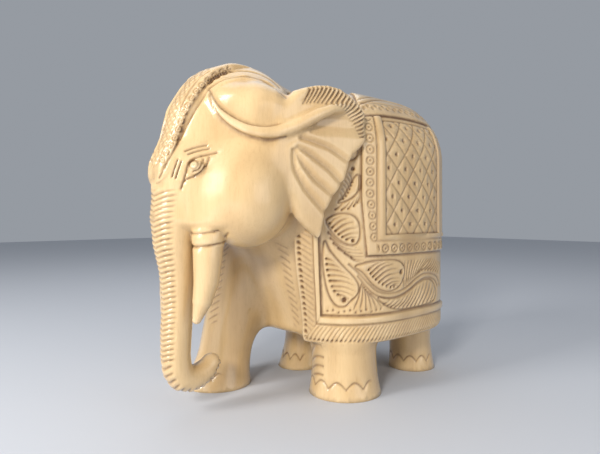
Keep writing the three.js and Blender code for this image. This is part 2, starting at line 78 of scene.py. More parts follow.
def ellipsoid(x, y, z, c, r):
    px, py, pz = x - c[0], y - c[1], z - c[2]
    k0 = np.sqrt((px / r[0]) ** 2 + (py / r[1]) ** 2 + (pz / r[2]) ** 2)
    k1 = np.sqrt((px / r[0] ** 2) ** 2 + (py / r[1] ** 2) ** 2 + (pz / r[2] ** 2) ** 2) + 1e-6
    return k0 * (k0 - 1) / k1


def limb(x, y, z, points, blend=0.0):
    d = None
    for a, b in zip(points, points[1:]):
        bx, by, bz = b[0] - a[0], b[1] - a[1], b[2] - a[2]
        px, py, pz = x - a[0], y - a[1], z - a[2]
        h = np.clip((px * bx + py * by + pz * bz) / (bx * bx + by * by + bz * bz), 0, 1)
        c = np.sqrt((px - bx * h) ** 2 + (py - by * h) ** 2 + (pz - bz * h) ** 2) - (a[3] + (b[3] - a[3]) * h)
        d = c if d is None else (join(d, c, blend) if blend else np.minimum(d, c))
    return d


def plan(ax, y):
    u = ax / HALF_WIDTH
    v = np.abs(y - CENTRE_Y) / HALF_LENGTH
    g = (u ** SQUARENESS + v ** SQUARENESS + 1e-9) ** (1 / SQUARENESS)
    gx = (u / g) ** (SQUARENESS - 1) / HALF_WIDTH
    gy = (v / g) ** (SQUARENESS - 1) / HALF_LENGTH
    return (g - 1) / np.sqrt(gx * gx + gy * gy + 1e-12)


def body(ax, y, z):
    side = plan(ax, y)
    over = np.hypot(np.maximum(side + TOP_RADIUS, 0), np.maximum(z - SHOULDER_Z, 0)) - TOP_RADIUS
    d = np.where(z > SHOULDER_Z, over, np.maximum(side, -TOP_RADIUS))
    chest = ellipsoid(ax, y, z, (0, -14, 80), (34, 29, 50))
    return meet(join(d, chest, 8), BELLY_Z - z, 5)


# Distance along the plan outline from the middle of the chest, by polar angle
ARC_ANGLE = np.linspace(-math.pi / 2, math.pi / 2, 1441)
ARC_RADIUS = ((np.abs(np.cos(ARC_ANGLE)) / HALF_WIDTH) ** SQUARENESS
              + (np.abs(np.sin(ARC_ANGLE)) / HALF_LENGTH) ** SQUARENESS) ** (-1 / SQUARENESS)
ARC_STEP = np.hypot(np.diff(ARC_RADIUS * np.cos(ARC_ANGLE)), np.diff(ARC_RADIUS * np.sin(ARC_ANGLE)))
ARC = np.concatenate([[0], np.cumsum(ARC_STEP)])


def along(ax, y):
    return np.interp(np.arctan2(y - CENTRE_Y, ax), ARC_ANGLE, ARC)


def upward(ax, y, z):
    q = np.maximum(plan(ax, y) + TOP_RADIUS, 1e-3)
    return np.where(z <= SHOULDER_Z, z, SHOULDER_Z + TOP_RADIUS * np.arctan2(z - SHOULDER_Z, q))


def panel_top(s):
    return PANEL_TOP - 0.0018 * (s - 80) ** 2


def crest(s):
    return PANEL_TOP + 15.6 - 0.008 * (s - 80) ** 2


def band_front(t):
    return BAND_FRONT + 0.1 * np.maximum(0, 93 - t)


def ridge(v, centre, width):
    return 1 - smooth(width * 0.3, width * 0.75, np.abs(v - centre))


def cloth_carving(s, t):
    """Height of the raised frames and the sunk panel of the cloth."""
    h = ridge(s, FIELD_FRONT + 1.4, 2.6) * smooth(35, 37, t)
    h = np.maximum(h, ridge(t, FIELD_BOTTOM - 2.2, 2.6) * smooth(FIELD_FRONT, FIELD_FRONT + 2, s))
    band = step_up(band_front(t), BAND_SLOPE, s) * step_up(BAND_BOTTOM, BAND_SLOPE, t)
    panel = step_up(PANEL_FRONT, PANEL_SLOPE, s) * step_up(PANEL_BOTTOM, PANEL_SLOPE, t)
    panel = panel * (1 - step_up(PANEL_REAR, PANEL_SLOPE, s))
    panel = panel * (1 - step_up(0, PANEL_SLOPE, t - panel_top(s)))
    h = np.maximum(h, band * 0.9) - panel * 0.8
    h = np.maximum(h, ridge(t, crest(s), 4) * smooth(20, 40, s))
    return h * 0.9


def leg(x, y, z, foot, top, foot_r, ankle, thigh, foot_h):
    low = np.clip(z / foot_h, 0, 1)
    high = np.clip(z / LEG_TOP, 0, 1)
    thicker = np.clip((z - foot_h) / (LEG_TOP - foot_h), 0, 1)
    cx = foot[0] + (top[0] - foot[0]) * high
    cy = foot[1] + (top[1] - foot[1]) * high
    r = foot_r + (ankle - foot_r) * (1 - (1 - low) ** 2) + (thigh - ankle) * thicker
    d = np.maximum(np.hypot(x - cx, y - cy) - r, -1.8 - z)
    return meet(d, z - 72, 10)


# For each leg: foot, top, the radii at sole, ankle and thigh, and the height of the foot
LEGS = (((26, -8), (23, -8), 17.5, 15.6, 16.8, 16),
        ((-26.5, -47), (-20, -30), 17.2, 13.5, 17.5, 18),
        ((22, 51.2), (21, 45), 12.7, 11.4, 15, 16),
        ((-21.5, 5), (-20, 16), 12, 10.2, 15, 16))
# Lines of centres with a radius at each
BROW = (
    (0, -52.5, 138.3, 11), (0, -66.5, 135.3, 11), (0, -73.5, 125, 11.5), (0, -76, 113, 12.5),
    (0, -80.2, 103, 12.6))
TRUNK = (
    (0, -81, 103, 12.3), (0, -83.2, 94, 11.4), (0, -85, 84, 10.5), (0, -85.4, 74, 9.1),
    (0, -84.2, 62, 7.6), (0, -83.8, 48, 6.8), (0, -84.6, 36, 6.6), (0, -84.9, 26, 6.3),
    (0, -84.2, 20, 6.2), (0, -82, 16, 6), (0, -78.2, 14.4, 5.7), (0, -74, 14.7, 5.4), (0, -70.3, 16.4, 5),
    (0, -67.4, 19.2, 4.3))
TUSK = (
    (TUSK_X - 3.5, -75.2, 95, 7), (TUSK_X - 1, -76.8, 82, 6.8), (TUSK_X + 0.2, -78, 68, 6.1),
    (TUSK_X + 0.5, -78.8, 58, 5.3), (TUSK_X, -80.4, 50, 4.1), (TUSK_X - 0.5, -82.7, 42.5, 1.9))
COLLAR = ((TUSK_X - 0.2, -77.4, 77, 6.9), (TUSK_X, -77.5, 75, 6.9))
FOLD = (
    (10, -75.2, 136.4, 1.2), (13.2, -75.6, 132.6, 1.9), (17.2, -74, 127.2, 2.3), (22, -70.6, 122.8, 2.5),
    (26.5, -66.8, 120, 2.6), (30.3, -62.4, 118.8, 2.7), (33.6, -56.4, 119, 2.8), (36.2, -50, 121.6, 2.8),
    (38.6, -45, 124.6, 2.8), (40.6, -39.5, 127.8, 2.6), (42.0, -33, 130.6, 2.2),
    (42.7, -27.5, 131.9, 1.8), (42.4, -23, 132.2, 1.2))
STRAP = (
    (9.6, -74, 137.4, 1.2), (13.2, -69, 141.3, 1.7), (16.8, -61.5, 143.6, 1.8), (21.6, -53.2, 141.5, 1.8),
    (25.6, -47.4, 136.8, 1.8), (28.8, -43.2, 131.5, 1.8), (31.5, -41.5, 125.5, 1.5))
TEMPLE = (
    (11, -71.5, 135, 2), (16, -65, 132.5, 8), (19.8, -58.2, 130, 11.6), (24.8, -52.3, 129, 9.2),
    (29.5, -45, 127.5, 3))
EYE = (15.6, -83.4, 104)
TAIL = (
    (0, 59, 130, 4), (0, 64.5, 112, 3.6), (0, 66, 90, 3.1), (0, 66, 66, 2.8), (0, 66, 54, 3.6),
    (0, 66, 44, 4), (0, 65.5, 34, 2.2))
# Outline and folds of the ear in its plane, as y and z
EAR = (
    (-58, 121), (-52, 132.5), (-47.5, 137.7), (-43, 139.5), (-37.6, 141), (-31.9, 141.6), (-26.3, 140.7),
    (-21.3, 137.8), (-17, 134.4), (-14.5, 131), (-13.4, 127), (-13.4, 122.3), (-15, 117.6), (-18, 114.3),
    (-21.3, 111.6), (-23.2, 108.3), (-24.1, 104.8), (-25.6, 100.2), (-28.8, 95.6), (-31.9, 91.2),
    (-34, 87), (-35, 82.6), (-35.5, 77.6), (-36.7, 74.8), (-39, 76.8), (-42.8, 79.8), (-46.8, 84),
    (-50.2, 91), (-54, 98), (-59, 106))
EAR_FOLDS = (
    ((-46.1, 117.4), (-41.6, 116.4), (-33.3, 113.9), (-25, 109.1)),
    ((-47.9, 113.1), (-42.6, 110.8), (-33.3, 104.4), (-27.5, 99)),
    ((-49.2, 112.2), (-46.2, 106.4), (-39.8, 99.9), (-31.5, 93.8)),
    ((-50, 112.1), (-49.2, 103.8), (-44.2, 95.6), (-35.2, 86.5)))


def headdress_edge(z):
    tongue = np.clip((106 - z) / 8, 0, 1)
    return (7.2 + 2.5 * smooth(117, 131, z)) * np.sqrt(1 - tongue ** 2)


def head(ax, y, z):
    d = join(ellipsoid(ax, y, z, (0, -50, 115.2), (34, 27, 34.5)), limb(ax, y, z, BROW), 16)
    d = join(d, ellipsoid(ax, y, z, (18, -61, 92), (18.5, 20, 21)), 10)
    band_edge = headdress_edge(z)
    rim = 0.8 * ridge(ax, band_edge - 1.6, 3)
    band = meet(meet(d - (1.4 + rim) * (1 - smooth(-64, -49, y)), ax - band_edge, 0.4), 98 - z, 0.4)
    d = np.minimum(d, np.maximum(band, y + 48))
    d = join(d, limb(ax, y, z, TEMPLE, 3), 3)
    d = join(d, limb(ax, y, z, STRAP), 1.2)
    d = join(d, limb(ax, y, z, FOLD), 1.5)
    return np.minimum(d, ellipsoid(ax, y, z, EYE, (2.6, 3.2, 2.6)))


def outline(u, v, points):
    d = np.full(u.shape, 1e9)
    inside = np.zeros(u.shape, bool)
    for a, b in zip(points, points[1:] + points[:1]):
        ex, ey = b[0] - a[0], b[1] - a[1]
        wx, wy = u - a[0], v - a[1]
        h = np.clip((wx * ex + wy * ey) / (ex * ex + ey * ey), 0, 1)
        d = np.minimum(d, (wx - ex * h) ** 2 + (wy - ey * h) ** 2)
        inside ^= ((a[1] > v) != (b[1] > v)) & (u < ex * (v - a[1]) / (ey if ey else 1e-12) + a[0])
    d = np.sqrt(d)
    return np.where(inside, -d, d)


def fold_distance(y, z, points):
    return limb(0 * y, y, z, [(0, *p, 0) for p in points])


def ear_middle(y, z):
    """Middle of the ear's thickness: it swings out from the head toward its rear edge."""
    return 29 + 17 * np.clip((y + 60) / 55, 0, 1) ** 0.75 - 0.0016 * (z - 108) ** 2


def ear(ax, y, z):
    middle = ear_middle(y, z)
    cut = np.max([1 - smooth(0, 3, fold_distance(y, z, points)) for points in EAR_FOLDS], axis=0)
    cup = 1.6 * smooth(-46, -38, y) * smooth(118, 124, z) * (1 - smooth(126, 131, z))
    face = middle + EAR_THICKNESS / 2 - 0.9 * cut - cup
    slab = np.maximum(ax - face, middle - EAR_THICKNESS / 2 - ax) * 0.9
    return meet(outline(y, z, EAR), slab, 2.5)


def groups(x, y, z):
    """Distances to the named forms: bare body, cloth, head, trunk, tusks, ears, tail, legs."""
    ax = np.abs(x)
    bare = body(ax, y, z)
    core = join(bare, ellipsoid(ax, y, z, (0, -36, 107), (35, 30, 40)), 8)
    legs = [leg(x, y, z, *k) for k in LEGS]
    for k in legs:
        core = join(core, k, 8)
    s, t = along(ax, y), upward(ax, y, z)
    front = np.minimum(CLOTH_FRONT - s, -22 - y)
    cloth = meet(meet(bare - CLOTH - cloth_carving(s, t), front, 0.8), HEM_Z - z, 1.2)
    cloth = np.where(z < BELLY_Z + 1.5, np.maximum(cloth, -plan(ax, y) - 3.5), cloth)
    return (core, cloth, head(ax, y, z), limb(ax, y, z, TRUNK),
            np.minimum(limb(ax, y, z, TUSK), limb(ax, y, z, COLLAR)),
            ear(ax, y, z), limb(x, y, z, TAIL, 2), np.min(legs, axis=0))


def field(x, y, z):
    core, cloth, face, trunk, tusks, ears, tail, _ = groups(x, y, z)
    d = np.minimum(core, cloth)
    h = join(join(face, trunk, 6), tusks, 1 + 8 * smooth(77, 82, z))
    d = join(d, h, 4)
    d = join(d, ears, 2)
    return join(d, tail, 1)


# Carving depths. Every function gives a height in layout units: below 0 is cut in, above 0 stands proud.

def groove(d, width, depth):
    return -depth * np.exp(-(d / (0.6 * width)) ** 2)


def hole(d, radius, depth):
    return -depth * (1 - smooth(radius * 0.45, radius * 1.15, d))


def off_row(p):
    """How far p lies from the nearest whole number, for marks in a row."""
    return np.abs(p - np.round(p))


def nearest(v, first, pitch):
    """The mark nearest to v in a row that starts at first."""
    return np.round((v - first) / pitch) * pitch + first


def line(u, v, points):
    """Distance to a line of points, and how far along it the nearest point lies (0 to 1)."""
    best = np.full(u.shape, 1e9)
    part = np.zeros(u.shape)
    lengths = [math.dist(a, b) for a, b in zip(points, points[1:])]
    total, run = sum(lengths), 0.0
    for a, b, n in zip(points, points[1:], lengths):
        ex, ey = b[0] - a[0], b[1] - a[1]
        h = np.clip(((u - a[0]) * ex + (v - a[1]) * ey) / (n * n + 1e-9), 0, 1)
        d = np.hypot(u - a[0] - ex * h, v - a[1] - ey * h)
        near = d < best
        best = np.where(near, d, best)
        part = np.where(near, (run + h * n) / total, part)
        run += n
    return best, part


def rounded(points, closed=False):
    """Cuts the corners of a line of points twice, so that it reads as a curve."""
    pts = list(points)
    for _ in range(2):
        out = [] if closed else [pts[0]]
        for a, b in zip(pts, pts[1:] + pts[:1] if closed else pts[1:]):
            out.append((a[0] * 0.75 + b[0] * 0.25, a[1] * 0.75 + b[1] * 0.25))
            out.append((a[0] * 0.25 + b[0] * 0.75, a[1] * 0.25 + b[1] * 0.75))
        pts = out if closed else out + [pts[-1]]
    return pts


def near_box(s, t, points, pad=2.0):
    """Indices of the places within a box round the points."""
    (s0, s1), (t0, t1) = ((min(c) - pad, max(c) + pad) for c in zip(*points))
    return np.nonzero((s > s0) & (s < s1) & (t > t0) & (t < t1))[0]


def cut_line(h, s, t, points, width=0.6, depth=0.4):
    i = near_box(s, t, points)
    if len(i):
        d, _ = line(s[i], t[i], points)
        h[i] = np.minimum(h[i], h[i] * 0.5 + groove(d, width, depth))


def cut_hole(h, s, t, at, radius, depth):
    i = near_box(s, t, [at])
    h[i] += hole(np.hypot(s[i] - at[0], t[i] - at[1]), radius, depth)


def leaf(h, s, t, edge, eye=None, eye_radius=1.0):
    """A raised leaf with a cut outline and a drilled eye."""
    pts = rounded(edge, closed=True)
    i = near_box(s, t, pts)
    if len(i):
        d = outline(s[i], t[i], pts)
        h[i] = np.where(d < 0, 0.5 * smooth(0, 1.6, -d), h[i]) + groove(d, 0.8, 0.7)
    if eye:
        cut_hole(h, s, t, eye, eye_radius, 1.0)


def stroke(h, s, t, a, b, bend, wide, narrow, depth):
    """A gouged stroke from a to b: broad and deep at a, thin at b, bowed to one side."""
    dx, dy = b[0] - a[0], b[1] - a[1]
    mid = (0.5 * (a[0] + b[0]) - bend * dy, 0.5 * (a[1] + b[1]) + bend * dx)
    pts = rounded([a, mid, b])
    i = near_box(s, t, pts)
    if len(i):
        d, part = line(s[i], t[i], pts)
        w = wide + (narrow - wide) * part
        h[i] = np.minimum(h[i], h[i] * 0.35 + groove(d, w, depth * (1 - 0.55 * part)))


def ribs(h, s, t, starts, ends, bend=0.12, dot=0.6, wide=0.95):
    """A row of gouged strokes, each from a drilled dot."""
    for a, b in zip(starts, ends):
        stroke(h, s, t, a, b, bend, wide, 0.45, 0.8)
        cut_hole(h, s, t, a, dot, 0.6)


# Leaves, ribs and stems of the outer field, as distance along the cloth and height
EYE_A, EYE_B, EYE_C, EYE_I = (38.4, 46.6), (42.3, 73.4), (68.8, 57.9), (42.2, 105.9)
LEAF_A = (
    (30.4, 74.5), (32.0, 69.7), (34.5, 65.9), (38.0, 61.7), (41.9, 57.8), (44.7, 54.1), (45.3, 51.0),
    (43.9, 48.1), (41.2, 46.2), (39.4, 43.8), (37.0, 43.2), (34.6, 43.9), (32.4, 46.9), (30.8, 51.1),
    (29.8, 57.2), (29.4, 63.3), (29.4, 69.3))
RIBS_A = (
    ((31.0, 65.2), (31.1, 62.7), (31.3, 60.1), (31.8, 57.6), (32.4, 55.1), (33.2, 52.5), (34.2, 50.4),
     (35.7, 48.9)),
    ((34.6, 63.4), (37.3, 60.6), (40.0, 58.0), (42.3, 55.3), (43.7, 52.6), (43.5, 50.3), (42.3, 48.5),
     (40.4, 47.0)))
LEAF_B = (
    (30.8, 83.1), (34.6, 85.4), (38.7, 85.9), (42.3, 85.0), (44.9, 82.4), (45.6, 78.2), (45.3, 74.0),
    (43.5, 71.4), (40.1, 71.6), (37.3, 73.1), (34.6, 75.6), (32.4, 78.7), (31.0, 81.6))
RIBS_B = (
    ((32.4, 81.2), (33.5, 79.4), (34.8, 77.8), (36.2, 76.3), (37.7, 75.0), (39.4, 73.9)),
    ((37.3, 84.6), (40.4, 83.8), (42.8, 82.0), (44.3, 79.4), (44.5, 76.7), (43.4, 74.9)))
LEAF_C = (
    (42.3, 61.6), (46.8, 63.1), (52.5, 63.9), (59.8, 64.2), (67.2, 63.6), (70.8, 61.1), (71.7, 57.8),
    (70.2, 54.0), (67.2, 50.6), (61.8, 49.2), (56.9, 49.9), (52.0, 52.7), (49.0, 56.3), (46.5, 59.2))
RIBS_C = (
    ((49.6, 59.9), (50.7, 58.2), (51.9, 56.7), (53.3, 55.3), (55.1, 54.0), (57.1, 52.9), (59.3, 51.9),
     (61.8, 51.2), (64.1, 51.3)),
    ((57.0, 63.3), (61.0, 63.1), (64.4, 62.2), (65.8, 60.0), (66.9, 57.6), (67.6, 55.3), (67.4, 53.6),
     (67.0, 52.5), (66.4, 51.5)))
LEAF_F = (
    (53.4, 47.6), (57.0, 44.0), (61.8, 41.5), (68.4, 40.0), (75.7, 39.8), (85.0, 40.0), (96.0, 40.4),
    (99.5, 45.0), (96.0, 50.8), (89.4, 53.2), (82.2, 51.6), (75.7, 48.5), (69.6, 46.4), (62.8, 45.4))
RIBS_F = (
    ((57.8, 43.6), (60.0, 42.6), (62.3, 41.9), (64.8, 41.4), (67.5, 41.1), (70.3, 40.9), (73.2, 40.8),
     (76.2, 40.8), (79.3, 40.8), (82.5, 40.9), (85.8, 41.1), (89.4, 41.2), (93.0, 41.4)),
    ((61.0, 45.2), (64.6, 45.4), (68.4, 45.9), (71.8, 46.7), (75.1, 47.7), (78.0, 48.8), (80.9, 50.2),
     (83.9, 51.3), (86.7, 52.2), (89.7, 52.3), (92.6, 51.2), (95.3, 49.3), (97.0, 46.5)))
STEM_UP = (
    (40.5, 62.6), (41.9, 61.3), (45.7, 57.8), (49.1, 53.9), (54.2, 49.6), (59.8, 48.2), (67.2, 48.5),
    (73.8, 50.6), (80.9, 54.4), (87.8, 56.1), (96.3, 54.7), (101.5, 52.5), (105.0, 48.0))
STEM_LOW = (
    (44.5, 57.1), (47.6, 53.2), (51.6, 49.0), (56.9, 46.6), (62.8, 45.9), (69.6, 47.0), (75.7, 49.1),
    (82.2, 52.5), (89.4, 54.0), (97.4, 52.0), (101.0, 48.0))
LEAF_I = (
    (35.0, 90.2), (38.3, 93.6), (40.1, 97.0), (41.6, 99.7), (43.0, 102.6), (45.0, 103.6), (45.3, 99.1),
    (44.7, 95.6), (42.4, 93.0), (38.8, 91.0))
RIBS_I = (
    ((38.0, 92.3), (39.2, 93.5), (40.1, 95.0), (40.8, 96.6), (41.4, 98.2), (42.0, 99.8)),
    ((36.6, 94.6), (37.3, 96.6), (38.0, 98.6), (38.6, 100.4), (39.4, 102.2), (40.3, 103.8)))


# Fans of strokes: where they start, where they end, their bend, dot and width
FANS = ((((31.9, 77.2), (32.7, 74.6), (34.0, 72.2), (36.0, 70.0), (38.7, 67.8), (41.4, 65.8)),
         ((43.7, 70.3), (45.2, 69.0), (46.4, 67.6), (46.9, 65.9), (47.0, 64.6), (45.6, 63.7)),
         -0.16, 0.3, 1.0),
        (((46.2, 53.6), (46.9, 52.9), (47.6, 52.0), (48.3, 51.0), (49.2, 50.0), (50.4, 49.0)),
         ((42.6, 42.2), (45.4, 42.0), (48.2, 41.9), (51.0, 42.0), (53.6, 42.2), (56.4, 42.6)),
         0.05, 0.1, 0.6),
        (tuple((71.0 + 1.5 * k, 50.9 + 0.72 * k) for k in range(9)),
         tuple((71.6 + 2.5 * k, 62.9) for k in range(9)), 0.05, 0.2, 0.7),
        (tuple((84.8 + 2.6 * k, 57.4 - 0.07 * k * k) for k in range(7)),
         tuple((93.4 + 2.0 * k, 63.2 - 0.55 * k) for k in range(7)), -0.1, 0.2, 0.7))
FAN_ABOVE_B = (
    ((34.6, 87.6), (37.3, 87.2), (40.1, 87.8), (42.6, 89.1), (44.3, 90.6)),
    ((37.6, 90.3), (40.5, 90.8), (42.6, 91.8), (44.2, 93.0), (45.0, 94.6)))
LEAF_TOP = ((31.5, 108.0), (37.0, 110.5), (42.5, 109.5), (45.0, 113.5), (43.0, 119.0), (36.0, 118.0))
RIBS_TOP = (((33.5, 109.6), (35.4, 110.4), (37.4, 111.0)), ((35.0, 115.5), (37.5, 116.0), (39.6, 115.5)))
HOOK_A = ((36.6, 48.6), (36.9, 46.2), (38.4, 45.0), (40.0, 45.8), (40.2, 47.4))


def foliage(h, s, t):
    """The leaves, fans and stems of the outer field, the first four fans under the leaves."""
    for fan in FANS:
        ribs(h, s, t, *fan)
    leaf(h, s, t, LEAF_A, EYE_A, 1.25)
    ribs(h, s, t, *RIBS_A)
    cut_line(h, s, t, HOOK_A)
    leaf(h, s, t, LEAF_B, EYE_B, 0.9)
    ribs(h, s, t, *RIBS_B)
    leaf(h, s, t, LEAF_C, EYE_C, 1.2)
    ribs(h, s, t, *RIBS_C)
    leaf(h, s, t, LEAF_F)
    ribs(h, s, t, *RIBS_F, -0.1, 0.45, 0.85)
    for eye, radius in ((EYE_A, 1.35), (EYE_B, 1.05), (EYE_C, 1.35)):
        cut_hole(h, s, t, eye, radius, 1.1)
    leaf(h, s, t, LEAF_I, EYE_I, 1.1)
    ribs(h, s, t, *RIBS_I, -0.1, 0.4, 0.8)
    ribs(h, s, t, *FAN_ABOVE_B, -0.1, 0.3, 0.7)
    leaf(h, s, t, LEAF_TOP, (41.6, 115.0))
    ribs(h, s, t, *RIBS_TOP)
    for stem in (STEM_UP, STEM_LOW):
        cut_line(h, s, t, rounded(stem), 0.85, 0.6)
    for k in range(11):
        cut_hole(h, s, t, (31.0 + 2.5 * k, 41.3 + 0.6 * math.sin(k * 2.1)), 0.6, 0.5)


def plain_foliage(h, s, t):
    """The hidden side: leaf outlines, some of their ribs and one stem."""
    for edge, eye in ((LEAF_A, EYE_A), (LEAF_B, EYE_B), (LEAF_C, EYE_C), (LEAF_F, (92.0, 46.0)),
                      (LEAF_I, EYE_I)):
        leaf(h, s, t, edge, eye)
    for starts, ends in (RIBS_A, RIBS_C):
        ribs(h, s, t, starts[::2], ends[::2])
    cut_line(h, s, t, rounded(STEM_UP), 0.85, 0.6)
    for base, top in ((43, 70), (78, 104)):
        leaf(h, s, t, ((126, base), (136, base + 6), (137, base + 13), (130, top), (122.5, base + 9)))


def sprigs(h, s, t):
    """The rear of the cloth on the near side: three tall leaves beside the tail."""
    for base, top, lean in ((43, 70, 4.0), (78, 104, 4.0), (110, 131, 3.0)):
        mid = 0.5 * (base + top)
        leaf(h, s, t, ((126, base), (132 + lean, base + 6), (133 + lean, mid), (130, top), (125, mid + 4),
                       (122.5, mid - 5)), (127.5, base + 5))
        ribs(h, s, t, tuple((125.2, mid - 6 + 3.2 * k) for k in range(5)),
             tuple((131.5, mid - 3 + 3.2 * k) for k in range(5)))
        cut_line(h, s, t, rounded([(140, base - 2), (143, mid), (136, top + 2)]), 0.8, 0.5)


def front_border(h, s, t, where):
    """A column of drilled dots, each with two fine strokes that slant down from it."""
    slot = (t + 0.75 * np.maximum(s - 20.4, 0) + 0.25 * np.sin(t * 0.9)) / 5.2
    off = off_row(slot * 2) * 2.6
    run = smooth(20.9, 21.6, s) * (1 - smooth(24.6, 25.6, s))
    h += np.where(where, groove(off * 0.8, 0.55, 0.32) * run, 0)
    dot = np.hypot((s - 20.3) * 0.9, off)
    h += np.where(where & (s < 21.8), hole(dot, 0.9, 0.8), 0)


def hem_border(h, s, t, where):
    """Hooked strokes that rise to the rear from a small drilled dot."""
    start, pitch = 27.4, 2.05
    above = np.maximum(t - 27.2, 0)
    off = off_row((s - (0.42 * above + 0.035 * above ** 2)) / pitch) * pitch
    run = smooth(26.6, start, t) * (1 - smooth(33.6, 34.8, t))
    h += np.where(where, groove(off, 0.52, 0.42) * run, 0)
    h += np.where(where, hole(np.hypot(off, (t - start) * 0.8), 0.7, 0.6), 0)


def plain_frame(h, s, t):
    """The frame between border and field, mitred at the corner."""
    edge = FIELD_FRONT
    mitre = np.abs((s - edge) - (t - 34.8) * 0.62) * 0.85
    corner = (s > edge - 1) & (s < edge + 3.4) & (t > 33.8) & (t < 40)
    h += np.where(corner, groove(mitre, 0.45, 0.3), 0)
    h += groove(np.maximum(edge - s, 34.9 - t), 0.6, 0.45)
    h += groove(np.maximum(edge + 2.8 - s, FIELD_BOTTOM + 0.1 - t), 0.8, 0.75)


CIRCLE_RADIUS, CIRCLE_START, CIRCLE_PITCH = 1.75, 69.8, 5.0
MOULDING_WIDE, MOULDING_TALL = 4.9, 2.9


def panel_moulding(h, s, t, top):
    """A rounded step that leads from the band down to the panel."""
    left, under = PANEL_FRONT - MOULDING_WIDE, PANEL_BOTTOM - MOULDING_TALL
    outside = np.maximum(left - s, under - t)
    h += groove(outside, 0.7, 0.55) * (1 - smooth(-1, 0.2, t - top))
    across = np.where(left - s > (under - t) * 1.7, (s - left) / MOULDING_WIDE, (t - under) / MOULDING_TALL)
    on = (outside < 0) & (np.maximum(PANEL_FRONT - s, PANEL_BOTTOM - t) > 0) & (t < top)
    h += np.where(on, 0.5 * np.sin(np.clip(across, 0, 1) * math.pi), 0)


def circles(h, where, d, width=0.6, depth=0.5, dot=0.7, dot_depth=0.55):
    """Cut circles round a drilled dot, from the distance to their centres."""
    h += np.where(where, groove(d - CIRCLE_RADIUS, width, depth) + hole(d, dot, dot_depth), 0)


def circle_band(h, s, t, top):
    """The band with circles in front of the panel and below it."""
    front = band_front(t)
    h += groove(np.maximum(front - s, BAND_BOTTOM - t) + 0.3, 1.1, 0.9)
    panel_moulding(h, s, t, top)
    up = (s > front + 1) & (s < PANEL_FRONT - 5.2) & (t > BAND_BOTTOM + 6) & (t < top - 2)
    row = nearest(t, CIRCLE_START, CIRCLE_PITCH)
    circles(h, up, np.hypot(s - (50.1 + 0.11 * np.maximum(0, 95 - t)), t - row))
    flat = (t > BAND_BOTTOM) & (t < PANEL_BOTTOM - MOULDING_TALL - 0.4) & (s > front + 6.5)
    circles(h, flat, np.hypot(s - nearest(s, 52.9, 5.4), t - 69.5), 0.65, 0.7, 0.8, 0.7)


def rear_band(h, s, t, top):
    """Two lines behind the panel with circles between them."""
    back = (s > PANEL_REAR + 2.5) & (t > BAND_BOTTOM + 4)
    h += np.where(back & (t < top), groove(s - 114.0, 0.8, 0.6) + groove(s - 104.6, 0.6, 0.45), 0)
    row = nearest(t, CIRCLE_START, CIRCLE_PITCH)
    circles(h, back & (t < top - 2), np.hypot(s - 109.4, t - row))


def lattice(h, s, t, top):
    """The panel: two families of fine cuts, with a drilled dot in each diamond."""
    panel = np.maximum(np.maximum(PANEL_FRONT + 0.2 - s, PANEL_BOTTOM + 0.2 - t),
                       np.maximum(s - PANEL_REAR + 0.6, t - top + 2.5))
    on = panel < 0
    wide, tall = 11.3, 13.2
    waved = s + 0.13 * (t - 107) + 0.35 * np.sin(t * 0.19) + 0.3 * np.sin(s * 0.23 + t * 0.05)
    a = (waved - 72.4) / wide + (t - 107) / tall + 0.5
    b = (waved - 72.4) / wide - (t - 107) / tall + 0.5
    scale = 1 / math.hypot(1 / wide, 1 / tall)
    h += np.where(on, groove(np.minimum(off_row(a) * scale, off_row(b) * scale), 0.55, 0.5), 0)
    ca, cb = np.floor(a) + 0.5, np.floor(b) + 0.5
    dot = np.hypot((a + b - ca - cb) * 0.5 * wide, (a - b - ca + cb) * 0.5 * tall)
    h += np.where(on, hole(dot, 1.0, 0.9), 0)
    h += groove(panel, 0.6, 0.5) * (panel < 1)


def top_band(h, s, t, top):
    """A deep line, a zigzag row of small rosettes with a line above it, and two lines along the crest."""
    side = smooth(24, 30, s)
    h += groove(t - top, 1.0, 0.95) * side
    row, pitch = top + 5.2, 2.9
    zigzag = row + 0.8 * np.where(np.round(s / pitch) % 2 == 0, 1, -1)
    d = np.hypot(s - nearest(s, 0, pitch), t - zigzag)
    h += np.where(np.abs(t - row) < 3, groove(d - 0.8, 0.5, 0.4) + hole(d, 0.35, 0.3), 0) * side
    h += groove(t - row - 3.2, 0.55, 0.35) * side
    # The crest's lines stop before they would cross the line over the panel
    near_crest = side * (1 - smooth(98, 110, s))
    h += (groove(t - crest(s) + 1.9, 0.7, 0.5) + groove(t - crest(s) - 2.2, 0.7, 0.45)) * near_crest


def cloth_relief(s, t, plain):
    """Ornament of the cloth; the hidden side (plain) has simpler leaves."""
    h = np.zeros(s.shape)
    in_front = (s < FIELD_FRONT) & (t > HEM_Z + 1 + (s - CLOTH_FRONT) * 1.2)
    front_border(h, s, t, in_front)
    hem_border(h, s, t, (t < 35.2) & ~in_front & (t > HEM_Z))
    plain_frame(h, s, t)
    top = panel_top(s)
    circle_band(h, s, t, top)
    lattice(h, s, t, top)
    top_band(h, s, t, top)
    rear_band(h, s, t, top)
    if plain:
        plain_foliage(h, s, t)
    else:
        foliage(h, s, t)
        sprigs(h, s, t)
    return h


